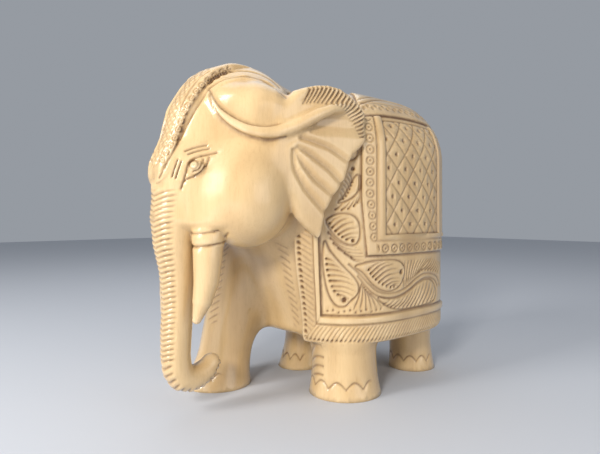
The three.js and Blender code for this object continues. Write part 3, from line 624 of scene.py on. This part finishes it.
# Lines of the head as they lie in the view from its left front quarter
ROSETTES = (
    (-40.5, 149.0), (-45.5, 145.2), (-49.6, 141.6), (-52.9, 138.0), (-54.6, 134.7), (-56.4, 130.7),
    (-58.2, 126.4), (-59.8, 120.7), (-61.4, 116.4), (-63.2, 113.1), (-64.8, 110.0), (-66.6, 106.2))
BAND_INNER = (
    (-49.0, 146.5), (-53.5, 143.0), (-56.9, 138.8), (-59.3, 132.1), (-61.6, 124.3), (-63.9, 117.4),
    (-67.3, 111.0), (-69.2, 105.3))
BAND_RIM = (
    (-42.0, 147.2), (-46.8, 143.2), (-51.0, 138.0), (-54.2, 131.5), (-57.2, 125.0), (-59.0, 119.0),
    (-60.9, 113.0), (-63.4, 107.5), (-66.5, 102.5))
BAND_OUTER = (
    (-48.6, 138.2), (-51.7, 132.0), (-55.2, 125.5), (-57.9, 120.0), (-60.0, 115.0), (-61.5, 110.5),
    (-64.2, 104.8), (-67.2, 100.0))
STRAP_LINES = (
    ((-48.6, 141.9), (-44.8, 145.6), (-38.3, 148.2), (-31.5, 148.4), (-24.5, 146.0), (-18.5, 141.0),
     (-13.8, 134.6)),
    ((-48.2, 138.6), (-44.1, 141.8), (-39.2, 143.6), (-33.5, 144.5), (-27.5, 143.6), (-22.4, 140.6),
     (-17.2, 135.4), (-13.2, 131.2), (-10.8, 128.4)))
ALMOND_LOW = (
    (-48.2, 137.6), (-44.5, 130.8), (-40.6, 127.2), (-34.7, 123.6), (-29.8, 121.7), (-23.4, 121.3),
    (-18.7, 122.8), (-13.8, 125.7), (-10.8, 128.2))
FOLD_SHADOW = (
    (-48.0, 135.2), (-46.8, 131.2), (-44.4, 126.3), (-40.5, 122.0), (-34.8, 118.3), (-29.0, 116.2),
    (-22.6, 115.3), (-16.0, 117.0))
EYE_LIDS = (
    ((-58.4, 95.4), (-56.8, 100.0), (-55.7, 104.1), (-55.1, 106.9), (-51.1, 108.8), (-47.7, 109.6),
     (-44.2, 110.4)),
    ((-56.8, 98.8), (-55.0, 100.0), (-52.1, 100.6), (-49.4, 102.3), (-48.2, 105.2), (-47.3, 108.6)),
    ((-53.0, 102.2), (-50.8, 102.8), (-49.7, 104.6), (-49.6, 107.6)))
LASHES = (
    ((-61.9, 100.4), (-60.8, 103.9), (-59.7, 107.5)),
    ((-60.4, 99.8), (-59.3, 103.2), (-58.2, 106.8)),
    ((-57.0, 111.0), (-52.8, 112.6), (-48.3, 113.5)),
    ((-55.6, 109.7), (-51.9, 111.2), (-47.4, 112.1)))
EYE_BALL = (-52.9, 105.2)
MOUTH_CORNER = ((-44.5, 73.5), (-41.7, 75.2), (-39.5, 77.5))
# Where the net of the headdress ends: heights, and the place across at each
NET_EDGE = ((105, 111, 117, 124, 132, 139, 143, 147), (-70, -68, -64.7, -62.4, -60.1, -57.7, -54.4, -50))


def quarter_view(x, y):
    """Place across that view, to the right of its middle."""
    return 0.669 * np.abs(x) + 0.743 * y


def cuts(h, u, v, where, lines, width, depth):
    i = np.nonzero(where)[0]
    if len(i):
        for pts in lines:
            d, _ = line(u[i], v[i], rounded(pts))
            h[i] += groove(d, width, depth)


def headdress_relief(h, ax, y, u, v):
    """A net in the middle, rosettes along each side and a plain rim outside them."""
    ahead = (y < -47) & (v > 98)
    band = (ax < headdress_edge(v) + 0.3) & ahead
    i = np.nonzero(band | (v > 136))[0]
    if len(i):
        d, part = line(u[i], v[i], ROSETTES)
        run = part * 53.0
        e = np.hypot(d, run - nearest(run, 0, 3.7))
        rosette = groove(e - 1.3, 0.5, 0.65) + hole(e, 0.6, 0.6)
        h[i] += np.where((d < 2.0) & (part > 0) & (part < 1), rosette, 0)
    cuts(h, u, v, ahead, (BAND_INNER, BAND_RIM), 0.6, 0.5)
    cuts(h, u, v, ahead & (ax > 2), (BAND_OUTER,), 0.6, 0.5)
    w = np.where(y > -72, 60 + (y + 72) * 1.2, 60 - (138 - v) * 1.05)
    net = np.minimum(off_row((ax + w) / 3.6), off_row((ax - w) / 3.6)) * 2.5
    i = np.nonzero(band & (ax < 6.5))[0]
    if len(i):
        d, _ = line(u[i], v[i], BAND_INNER)
        centre = (u[i] < np.interp(v[i], *NET_EDGE)) & (d > 0.8)
        h[i] += np.where(centre, groove(net[i], 0.55, 0.4), 0)


def head_relief(x, y, z):
    ax = np.abs(x)
    u = quarter_view(x, y)
    h = np.zeros(x.shape)
    headdress_relief(h, ax, y, u, z)
    # Straps, temple and the fold below it
    beside = (y < -38) & (z > 112)
    cuts(h, u, z, beside & (ax > 6), STRAP_LINES, 0.65, 0.5)
    cuts(h, u, z, beside & (ax > 8), (ALMOND_LOW,), 0.7, 0.55)
    cuts(h, u, z, (y < -38) & (z > 108) & (ax > 8), (FOLD_SHADOW,), 1.0, 0.6)
    h += eye_relief(x, y, z)
    d, _ = line(u, z, MOUTH_CORNER)
    h += np.where(y > -80, groove(d, 0.8, 0.5), 0)
    return h


def eye_relief(x, y, z):
    u, v = quarter_view(x, y), z
    h = np.zeros(x.shape)
    ahead = (y < -66) & (z > 92) & (z < 118) & (np.abs(x) > 4)
    cuts(h, u, v, ahead, EYE_LIDS, 0.62, 0.8)
    cuts(h, u, v, ahead, LASHES, 0.55, 0.75)
    d = np.hypot(u - EYE_BALL[0], v - EYE_BALL[1])
    h += np.where(ahead, groove(d - 2.0, 0.5, 0.55) + hole(d, 0.5, 0.3), 0)
    # The lid stands proud between its line and the ball
    h += np.where(ahead, 0.25 * np.exp(-((d - 3.4) / 0.7) ** 2) * smooth(-1.0, 1.5, v - EYE_BALL[1]), 0)
    return h


# Middle of the upright part of the trunk: heights, and the place along y at each
TRUNK_LINE = tuple(zip(*sorted((k[2], k[1]) for k in TRUNK[:9])))
TRUNK_PITCH = 2.15


def trunk_relief(x, y, z):
    """Rings across the front of the trunk, that run on round the outside of the curl."""
    ax = np.abs(x)
    low = z < 24
    upright = 1 - smooth(0.80, 1.12, np.arctan2(ax, -(y - np.interp(z, *TRUNK_LINE))))
    outer = smooth(8.6, 10.4, np.hypot(y + 74, z - 24)) * (1 - smooth(3.6, 5.2, ax))
    turn = np.arctan2(24 - z, -(y + 74))
    p = np.where(low, -turn * 10.5 / TRUNK_PITCH, (z - 24) / TRUNK_PITCH) - 0.12 * ax
    rings = groove(off_row(p) * TRUNK_PITCH, 0.62, 0.62) * np.where(low, outer, upright)
    h = rings * (1 - smooth(93, 97, z))
    nostril = np.hypot(np.hypot(y + 66.2, z - 20.6), ax)
    return h + hole(nostril, 1.6, 0.9) * (y > -69) + eye_relief(x, y, z)


def tusk_relief(x, y, z):
    level = z - 0.16 * (y + 77)
    return groove(level - 73.2, 0.8, 0.7) + groove(level - 78.6, 0.7, 0.6)


STROKE_PARTS = (0, 0.35, 0.65, 0.85, 1)


def ear_strokes(count):
    """Cuts along the upper rim, in from its edge: toward the rear they shorten and turn flat."""
    rim = rounded(EAR[3:13])
    lengths = [math.dist(a, b) for a, b in zip(rim, rim[1:])]
    reach = np.concatenate([[0], np.cumsum(lengths)])
    inset = 0.9
    out = []
    for k in range(count):
        part = k / (count - 1)
        at = (0.05 + 0.88 * k / (count - 1)) * reach[-1]
        y, z = (float(np.interp(at, reach, c)) for c in zip(*rim))
        turn = math.radians(float(np.interp(part, STROKE_PARTS, (60, 52, 38, 24, 12))))
        end = inset + float(np.interp(part, STROKE_PARTS, (8.6, 9.6, 7.6, 5.6, 3.6)))
        out.append(((y - inset * math.cos(turn), z - inset * math.sin(turn)),
                    (y - end * math.cos(turn), z - end * math.sin(turn))))
    return out


RIM_STROKES = ear_strokes(21)


def rim_relief(x, y, z):
    h = np.zeros(x.shape)
    for a, b in RIM_STROKES:
        stroke(h, y, z, a, b, 0.03, 0.9, 0.5, 1.2)
    return h * (outline(y, z, EAR) < -0.3)


def ear_relief(x, y, z):
    h = rim_relief(x, y, z)
    # The folds that fan down from the root
    outer = np.abs(x) > ear_middle(y, z)
    for pts in EAR_FOLDS:
        d, part = line(y, z, rounded(pts))
        h += np.where(outer, groove(d, 0.9, 0.3) * (1 - 0.8 * part), 0)
        h += np.where(outer, 0.3 * np.exp(-((d - 1.9) / 1.1) ** 2) * (1 - 0.5 * part), 0)
    return h


def leg_relief(x, y, z):
    h = np.zeros(x.shape)
    # A row of arcs over the toes of each foot
    for (fx, fy), _, r, *_ in LEGS:
        a = np.arctan2(x - fx, -(y - fy))
        near = np.hypot(x - fx, y - fy) < r + 4
        toe = 9.2 if r > 14 else 7.0
        arcs = 5.2 + 3.0 * np.abs(np.cos(a * r / toe * math.pi))
        front = 1 - smooth(1.25, 1.5, np.abs(a - 0.25 * np.sign(fx)))
        h += np.where(near & (z < 12), groove(z - arcs, 0.8, 0.55) * front, 0)
    # Hatching low on the forelegs, at the front edge of the near one
    off = off_row((z + 1.3 * (y + 22)) / 4.2) * 2.6
    on = (np.abs(x) > 12) & (np.abs(x) < 27) & (y < -17) & (y > -30) & (z > 9) & (z < 25)
    return h + np.where(on, groove(off, 0.6, 0.5), 0)


def chest_relief(x, y, z):
    s, pitch = along(np.abs(x), y), 3.3
    off = off_row((z + 0.9 * (s - 12)) / pitch) * pitch
    on = smooth(11.5, 12.5, s) * (1 - smooth(15.0, 16.0, s)) * (y < -18) * smooth(30, 33, z)
    return groove(off, 0.6, 0.4) * (on * (1 - smooth(70, 74, z)))


def tail_relief(x, y, z):
    """A plaited cord with a combed tuft."""
    plait = off_row((z - 1.4 * np.abs(x)) / 3.4) * 3.4
    comb = off_row(x / 1.3) * 1.3
    return np.where(z > 58, groove(plait, 0.9, 0.5), groove(comb, 0.6, 0.45))


def relief(x, y, z):
    """Carving depth at places on the form, each by the ornament of the form it lies on."""
    *forms, legs = groups(x, y, z)
    which = np.argmin(np.stack(forms), axis=0)
    core, cloth, face, trunk, tusks, ears, tail = (which == k for k in range(7))
    h = np.zeros(x.shape)

    def put(mask, fn):
        i = np.nonzero(mask)[0]
        if len(i):
            h[i] = fn(x[i], y[i], z[i])

    for plain in (False, True):
        put(cloth & ((x < 0) == plain),
            lambda a, b, c: cloth_relief(along(np.abs(a), b), upward(np.abs(a), b, c), plain))
    put(face, head_relief)
    put(trunk & (z < 101), trunk_relief)
    put(trunk & (z >= 101), eye_relief)
    put(tusks, tusk_relief)
    put(ears, ear_relief)
    put(face & (y > -46) & (z > 126), rim_relief)
    put(core & (legs < 1.5) & (z < 26), leg_relief)
    put(core & (z > 29), chest_relief)
    put(tail, tail_relief)
    return h


# Closed surface of the form: one corner in each cell of the grid that the surface passes

GRID_STEP, BLOCK = 0.52, 8
GRID_LOW, GRID_HIGH = np.array([-50.0, -99.5, -3.9]), np.array([50.0, 74.0, 158.0])


def sampled():
    """The field on the grid: exact in the blocks near the surface, one rough value in each other block."""
    span = BLOCK * GRID_STEP
    blocks = np.ceil((GRID_HIGH - GRID_LOW) / GRID_STEP / BLOCK).astype(int)
    centres = [GRID_LOW[a] + (np.arange(blocks[a]) + 0.5) * span for a in range(3)]
    rough = field(*np.meshgrid(*centres, indexing="ij"))
    value = rough.astype(np.float32)
    for axis in range(3):
        value = np.repeat(value, BLOCK, axis)
    value = np.pad(value, (0, 1), mode="edge")
    near = np.argwhere(np.abs(rough) < span * 1.25)
    offsets = np.arange(BLOCK + 1) * GRID_STEP
    for start in range(0, len(near), 400):
        part = near[start:start + 400]
        x, y, z = (GRID_LOW + part * span).T[:, :, None, None, None]
        places = np.broadcast_arrays(x + offsets[:, None, None], y + offsets[:, None], z + offsets)
        for (i, j, k), exact in zip(part * BLOCK, field(*places)):
            value[i:i + BLOCK + 1, j:j + BLOCK + 1, k:k + BLOCK + 1] = exact
    return value


def crossing(value, cells):
    """Mean of the points where the surface crosses the edges of each cell, within the cell."""
    total = np.zeros((len(cells), 3))
    hits = np.zeros(len(cells))
    for a in range(3):
        others = [q for q in range(3) if q != a]
        for sides in np.ndindex(2, 2):
            start = np.zeros(3, int)
            start[others] = sides
            end = start.copy()
            end[a] = 1
            v0 = value[tuple((cells + start).T)].astype(float)
            v1 = value[tuple((cells + end).T)].astype(float)
            cross = (v0 < 0) != (v1 < 0)
            point = np.tile(start.astype(float), (len(cells), 1))
            point[:, a] = np.where(cross, v0 / np.where(cross, v0 - v1, 1), 0)
            total += point * cross[:, None]
            hits += cross
    return total / hits[:, None]


def faces(inside, number):
    """The four cells round each grid line that the surface crosses, turned so that the face looks out."""
    quads = []
    last = np.array(inside.shape) - 1
    for a in range(3):
        o, w = (q for q in range(3) if q != a)
        at = np.argwhere(np.diff(inside, axis=a))
        at = at[(at[:, o] > 0) & (at[:, w] > 0) & (at[:, o] < last[o]) & (at[:, w] < last[w])]
        forward = inside[tuple(at.T)] != (a == 1)
        ids = []
        for du, dv in ((0, 0), (-1, 0), (-1, -1), (0, -1)):
            cell = at.copy()
            cell[:, o] += du
            cell[:, w] += dv
            ids.append(number[tuple(cell.T)])
        quad = np.stack(ids, 1)
        quads.append(np.where(forward[:, None], quad, quad[:, ::-1]))
    return np.concatenate(quads)


def surface():
    value = sampled()
    inside = value < 0
    size = np.array(inside.shape) - 1
    count = np.zeros(size, np.int8)
    for i, j, k in np.ndindex(2, 2, 2):
        count += inside[i:i + size[0], j:j + size[1], k:k + size[2]]
    cells = np.argwhere((count > 0) & (count < 8))
    number = np.full(size, -1, np.int32)
    number[tuple(cells.T)] = np.arange(len(cells), dtype=np.int32)
    return GRID_LOW + GRID_STEP * (cells + crossing(value, cells)), faces(inside, number)


def slope(p):
    """Unit direction in which the field grows."""
    e = 0.06
    x, y, z = p.T
    g = np.stack([field(x + e, y, z) - field(x - e, y, z), field(x, y + e, z) - field(x, y - e, z),
                  field(x, y, z + e) - field(x, y, z - e)], 1)
    return g / (np.linalg.norm(g, axis=1, keepdims=True) + 1e-9)


def in_parts(fn, p, size=150000):
    return np.concatenate([fn(p[i:i + size]) for i in range(0, len(p), size)])


def relaxed(verts, quads):
    """Corners drawn halfway to the mean of their neighbours twice, then set back on the surface."""
    at, one, other = np.stack([quads, np.roll(quads, -1, 1), np.roll(quads, 1, 1)], 2).reshape(-1, 3).T
    count = len(verts)
    degree = np.bincount(at, minlength=count) * 2
    for _ in range(2):
        mean = np.stack([np.bincount(at, verts[one, k], count) + np.bincount(at, verts[other, k], count)
                         for k in range(3)], 1)
        verts = verts + 0.5 * (mean / degree[:, None] - verts)
    return verts - in_parts(lambda p: np.clip(field(*p.T), -0.5, 0.5)[:, None] * slope(p), verts)


DEEPEST_CUT, HIGHEST_RAISE = -1.3, 0.8
verts, quads = surface()
verts = relaxed(verts, quads)
depth = np.clip(in_parts(lambda p: relief(*p.T), verts), DEEPEST_CUT, HIGHEST_RAISE)
carved = verts + in_parts(slope, verts) * (depth * smooth(0.4, 2.0, verts[:, 2]))[:, None]
carved[:, 2] = np.maximum(carved[:, 2], 0)

# Into the real frame: the CAD node gives the size and the place
low, high = (np.array(c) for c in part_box("elephant"))
form_low, form_high = verts.min(0), verts.max(0)
factor = (high[2] - low[2]) / form_high[2]
shift = 0.5 * (low + high)
shift[1] -= 0.5 * (form_low[1] + form_high[1]) * factor
shift[2] = low[2]
placed = np.clip(carved * factor + shift, low, high)


def linked(name, data):
    obj = bpy.data.objects.new(name, data)
    bpy.context.scene.collection.objects.link(obj)
    return obj


def triangle_mesh(name, places, tris):
    made = bpy.data.meshes.new(name)
    made.vertices.add(len(places))
    made.vertices.foreach_set("co", places.astype(np.float32).ravel())
    made.loops.add(len(tris) * 3)
    made.loops.foreach_set("vertex_index", tris.ravel())
    made.polygons.add(len(tris))
    made.polygons.foreach_set("loop_start", np.arange(0, len(tris) * 3, 3, dtype=np.int32))
    made.update(calc_edges=True)
    return made


# Thinned, so that the piece stays under 200,000 triangles
TRIANGLES = 194000
tris = np.concatenate([quads[:, [0, 1, 2]], quads[:, [0, 2, 3]]]).astype(np.int32)
fine = triangle_mesh("elephant_fine", placed, tris)
elephant = linked("elephant_carving", fine)
thin = elephant.modifiers.new("thin", "DECIMATE")
thin.ratio = min(1.0, TRIANGLES / len(tris))
bpy.context.view_layer.update()
graph = bpy.context.evaluated_depsgraph_get()
mesh = bpy.data.meshes.new_from_object(elephant.evaluated_get(graph))
elephant.modifiers.clear()
elephant.data = mesh
mesh.name = "elephant_carving"
bpy.data.meshes.remove(fine)


def read(items, name, width, kind=np.float32):
    values = np.empty(len(items) * width, kind)
    items.foreach_get(name, values)
    return values.reshape(-1, width)


def bending(p, normals, edges):
    """How the surface curves at each corner: above 0 in a hollow, below 0 on a ridge."""
    count = len(p)
    i, j = edges.T
    valence = np.maximum(np.bincount(edges.ravel(), minlength=count), 1.0)
    run = p[j] - p[i]
    square = (np.linalg.norm(run, axis=1) + 1e-6) ** 2
    bend = np.bincount(i, (run * normals[i]).sum(1) / square, count)
    bend = (bend - np.bincount(j, (run * normals[j]).sum(1) / square, count)) / valence
    for _ in range(3):
        around = np.bincount(i, bend[j], count) + np.bincount(j, bend[i], count)
        bend = 0.4 * bend + 0.6 * around / valence
    return bend


# Tone of each corner: red for painted shade in cuts and hollows, green for a painted highlight on ridges
co = np.clip(read(mesh.vertices, "co", 3).astype(float), low, high)
mesh.vertices.foreach_set("co", co.astype(np.float32).ravel())
back = (co - shift) / factor
cut = np.clip(-in_parts(lambda p: field(*p.T), back) / 1.1, 0, 1)
edges = read(mesh.edges, "vertices", 2, np.int32)
bend = bending(back, read(mesh.vertices, "normal", 3).astype(float), edges)
colour = np.zeros((len(co), 4), np.float32)
colour[:, 0] = np.clip(cut * 0.95 + np.clip(bend * 1.5, 0, 0.5), 0, 1)
colour[:, 1] = np.clip(-bend * 3.0, 0, 1)
colour[:, 3] = 1
tone = mesh.color_attributes.new("tone", "FLOAT_COLOR", "POINT")
tone.data.foreach_set("color", colour.ravel())
mesh.polygons.foreach_set("use_smooth", np.ones(len(mesh.polygons), bool))
mesh.update()


# Wood: pale, polished, with vertical grain, soft growth bands, painted shade darkening the cuts and a painted
# highlight paling the ridges

def wood_material():
    mat = bpy.data.materials.new("pale_wood")
    mat.use_nodes = True
    nt = mat.node_tree
    nt.nodes.clear()
    link = nt.links.new

    def add(kind, inputs=(), **props):
        node = nt.nodes.new(kind)
        for key, value in props.items():
            setattr(node, key, value)
        for key, value in inputs:
            put(value, node.inputs[key])
        return node

    def put(value, socket):
        if isinstance(value, bpy.types.NodeSocket):
            link(value, socket)
        else:
            socket.default_value = value

    out = add("ShaderNodeOutputMaterial")
    shader = add("ShaderNodeBsdfPrincipled")
    link(shader.outputs["BSDF"], out.inputs["Surface"])
    place = add("ShaderNodeTexCoord")

    def mapped(scale, turn=(0, 0, 0), at=(0, 0, 0)):
        m = add("ShaderNodeMapping", (("Scale", scale), ("Rotation", turn), ("Location", at),
                                      ("Vector", place.outputs["Object"])))
        return m.outputs["Vector"]

    def noise(scale, size, detail, rough, warp=0.0):
        n = add("ShaderNodeTexNoise", (("Scale", size), ("Detail", detail), ("Roughness", rough),
                                       ("Distortion", warp), ("Vector", mapped(scale))))
        return n.outputs["Fac"]

    def ramp(value, stops):
        r = add("ShaderNodeValToRGB", (("Fac", value),))
        elements = r.color_ramp.elements
        elements[0].position, elements[0].color = stops[0]
        elements[1].position, elements[1].color = stops[-1]
        for position, tint in stops[1:-1]:
            elements.new(position).color = tint
        return r.outputs["Color"]

    def mix(kind, fac, a, b):
        return add("ShaderNodeMix", ((0, fac), (6, a), (7, b)), data_type="RGBA", blend_type=kind).outputs[2]

    def calc(op, a, b):
        return add("ShaderNodeMath", ((0, a), (1, b)), operation=op).outputs[0]

    def clamped(value):
        return add("ShaderNodeClamp", (("Value", value),)).outputs["Result"]

    # Growth bands of the block: wide rings round a leaning pith, drawn out along the grain
    leaning = mapped((1.0, 1.0, 0.25), (0.12, -0.2, 0.0), (0.16, 0.05, 0.0))
    rings = add("ShaderNodeTexWave", (("Scale", 34.0), ("Distortion", 7.0), ("Detail", 2.0),
                                      ("Detail Scale", 0.6), ("Vector", leaning)),
                wave_type="RINGS", rings_direction="Z", wave_profile="SIN")
    bands = ramp(rings.outputs["Fac"], [(0.0, (0.568, 0.388, 0.190, 1)), (0.45, (0.598, 0.415, 0.208, 1)),
                                        (1.0, (0.622, 0.440, 0.226, 1))])
    # Fibres, clouds and pores along the grain
    fibre = noise((1.0, 1.0, 0.06), 900.0, 5, 0.62, 0.3)
    fibres = ramp(fibre, [(0.30, (0.90, 0.87, 0.82, 1)), (0.52, (1, 1, 1, 1)), (0.8, (1.04, 1.03, 1.02, 1))])
    colour = mix("MULTIPLY", 0.6, bands, fibres)
    cloud = noise((1.0, 1.0, 0.6), 28.0, 3, 0.5)
    clouds = ramp(cloud, [(0.25, (0.94, 0.90, 0.84, 1)), (0.7, (1.03, 1.02, 1.0, 1))])
    colour = mix("MULTIPLY", 0.8, colour, clouds)
    pores = noise((1.0, 1.0, 0.10), 2600.0, 2, 0.5)
    flecks = ramp(pores, [(0.30, (0.62, 0.52, 0.40, 1)), (0.40, (1, 1, 1, 1))])
    colour = mix("MULTIPLY", 0.22, colour, flecks)

    # Painted shade darkening the cuts, and a paler painted highlight on the ridges
    tone_at = add("ShaderNodeVertexColor", layer_name="tone")
    split = add("ShaderNodeSeparateColor", (("Color", tone_at.outputs["Color"]),))
    hollow, painted_highlight = split.outputs[0], split.outputs[1]
    patch = noise((1, 1, 1), 60.0, 3, 0.6)
    painted_shade = clamped(calc("MULTIPLY", hollow, calc("ADD", calc("MULTIPLY", patch, 0.5), 0.72)))
    # Painted shade: the colour is darkened toward brown in the cuts and hollows
    colour = mix("MIX", painted_shade, colour, mix("MULTIPLY", 1.0, colour, (0.22, 0.135, 0.07, 1)))
    # Painted highlight: the colour is paled on the ridges
    colour = mix("MIX", calc("MULTIPLY", painted_highlight, 0.45), colour, (0.82, 0.68, 0.47, 1))
    link(colour, shader.inputs["Base Color"])

    # Polish
    gloss = calc("ADD", calc("MULTIPLY", noise((1, 1, 0.3), 140.0, 4, 0.6), 0.16), 0.27)
    gloss = calc("ADD", gloss, calc("MULTIPLY", hollow, 0.22))
    link(gloss, shader.inputs["Roughness"])
    shader.inputs["Coat Weight"].default_value = 1.0
    shader.inputs["Coat Roughness"].default_value = 0.2

    # Fine relief of fibres and knife marks
    knife = noise((1, 1, 1), 95.0, 3, 0.5)
    rough = calc("ADD", calc("MULTIPLY", fibre, 0.7), calc("MULTIPLY", knife, 1.6))
    bump = add("ShaderNodeBump", (("Strength", 0.35), ("Distance", 0.00018), ("Height", rough)))
    link(bump.outputs["Normal"], shader.inputs["Normal"])
    return mat


mesh.materials.clear()
mesh.materials.append(wood_material())
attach(elephant, "root")
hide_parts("elephant")

# Floor
HALF_FLOOR = 1.6
floor_corners = [(x * HALF_FLOOR, y * HALF_FLOOR, 0) for x, y in ((-1, -1), (1, -1), (1, 1), (-1, 1))]
floor_mesh = bpy.data.meshes.new("floor")
floor_mesh.from_pydata(floor_corners, [], [(0, 1, 2, 3)])
floor = linked("floor", floor_mesh)
floor.location.z = low[2] - 0.0001
floor_mat = bpy.data.materials.new("floor_pale")
floor_mat.use_nodes = True
floor_shader = floor_mat.node_tree.nodes["Principled BSDF"]
floor_shader.inputs["Base Color"].default_value = (0.56, 0.58, 0.62, 1)
floor_shader.inputs["Roughness"].default_value = 0.8
floor_mesh.materials.append(floor_mat)

# Light: a tall soft key before the face, a small side light, a low light, a fill, a top light, a dim sky
world = bpy.data.worlds.new("studio")
bpy.context.scene.world = world
world.use_nodes = True
sky = world.node_tree.nodes["Background"]
sky.inputs["Color"].default_value = (0.80, 0.86, 0.95, 1)
sky.inputs["Strength"].default_value = 0.38


def lamp(name, place, aim_height, size, power, colour, glossy=True):
    """A rectangular light that looks at a point above the middle of the floor."""
    data = bpy.data.lights.new(name, "AREA")
    data.shape = "RECTANGLE"
    data.size, data.size_y = size
    data.energy = power
    data.color = colour
    obj = linked(name, data)
    obj.location = place
    toward = np.array((0, 0, aim_height), float) - np.array(place, float)
    yaw = math.atan2(toward[0], -toward[1])
    tilt = math.atan2(math.hypot(toward[0], toward[1]), -toward[2])
    obj.rotation_euler = (tilt, 0, math.pi + yaw)
    obj.visible_glossy = glossy


lamp("key", (-0.10, -0.64, 0.38), 0.09, (0.18, 0.38), 3.2, (1.0, 0.985, 0.97))
lamp("side", (0.34, -0.62, 0.36), 0.08, (0.13, 0.13), 3.9, (1.0, 0.975, 0.94), glossy=False)
lamp("low", (0.20, -0.75, 0.10), 0.06, (0.30, 0.20), 1.5, (1.0, 0.98, 0.95), glossy=False)
lamp("fill", (0.60, 0.05, 0.20), 0.08, (0.4, 0.4), 0.8, (1.0, 0.97, 0.93))
lamp("top", (-0.25, 0.15, 0.70), 0.08, (0.6, 0.6), 0.9, (0.95, 0.97, 1.0))

# Camera at the photograph's place, in layout units: level, 48 degrees round from the front
CAMERA_PLACE = np.array([198.93, -193.06, 85])
SENSOR, FOCAL_PIXELS, LOWERED_PIXELS, PHOTO_WIDTH = 36.0, 520, 12, 600
cam_data = bpy.data.cameras.new("camera")
cam_data.sensor_width = SENSOR
cam_data.lens = SENSOR * FOCAL_PIXELS / PHOTO_WIDTH
cam_data.shift_y = -LOWERED_PIXELS / PHOTO_WIDTH
cam_data.clip_start = 0.01
camera = linked("camera", cam_data)
camera.location = CAMERA_PLACE * factor + shift
camera.rotation_euler = (math.radians(90), 0, math.radians(48))
bpy.context.scene.camera = camera
bpy.context.scene.view_settings.view_transform = "Standard"
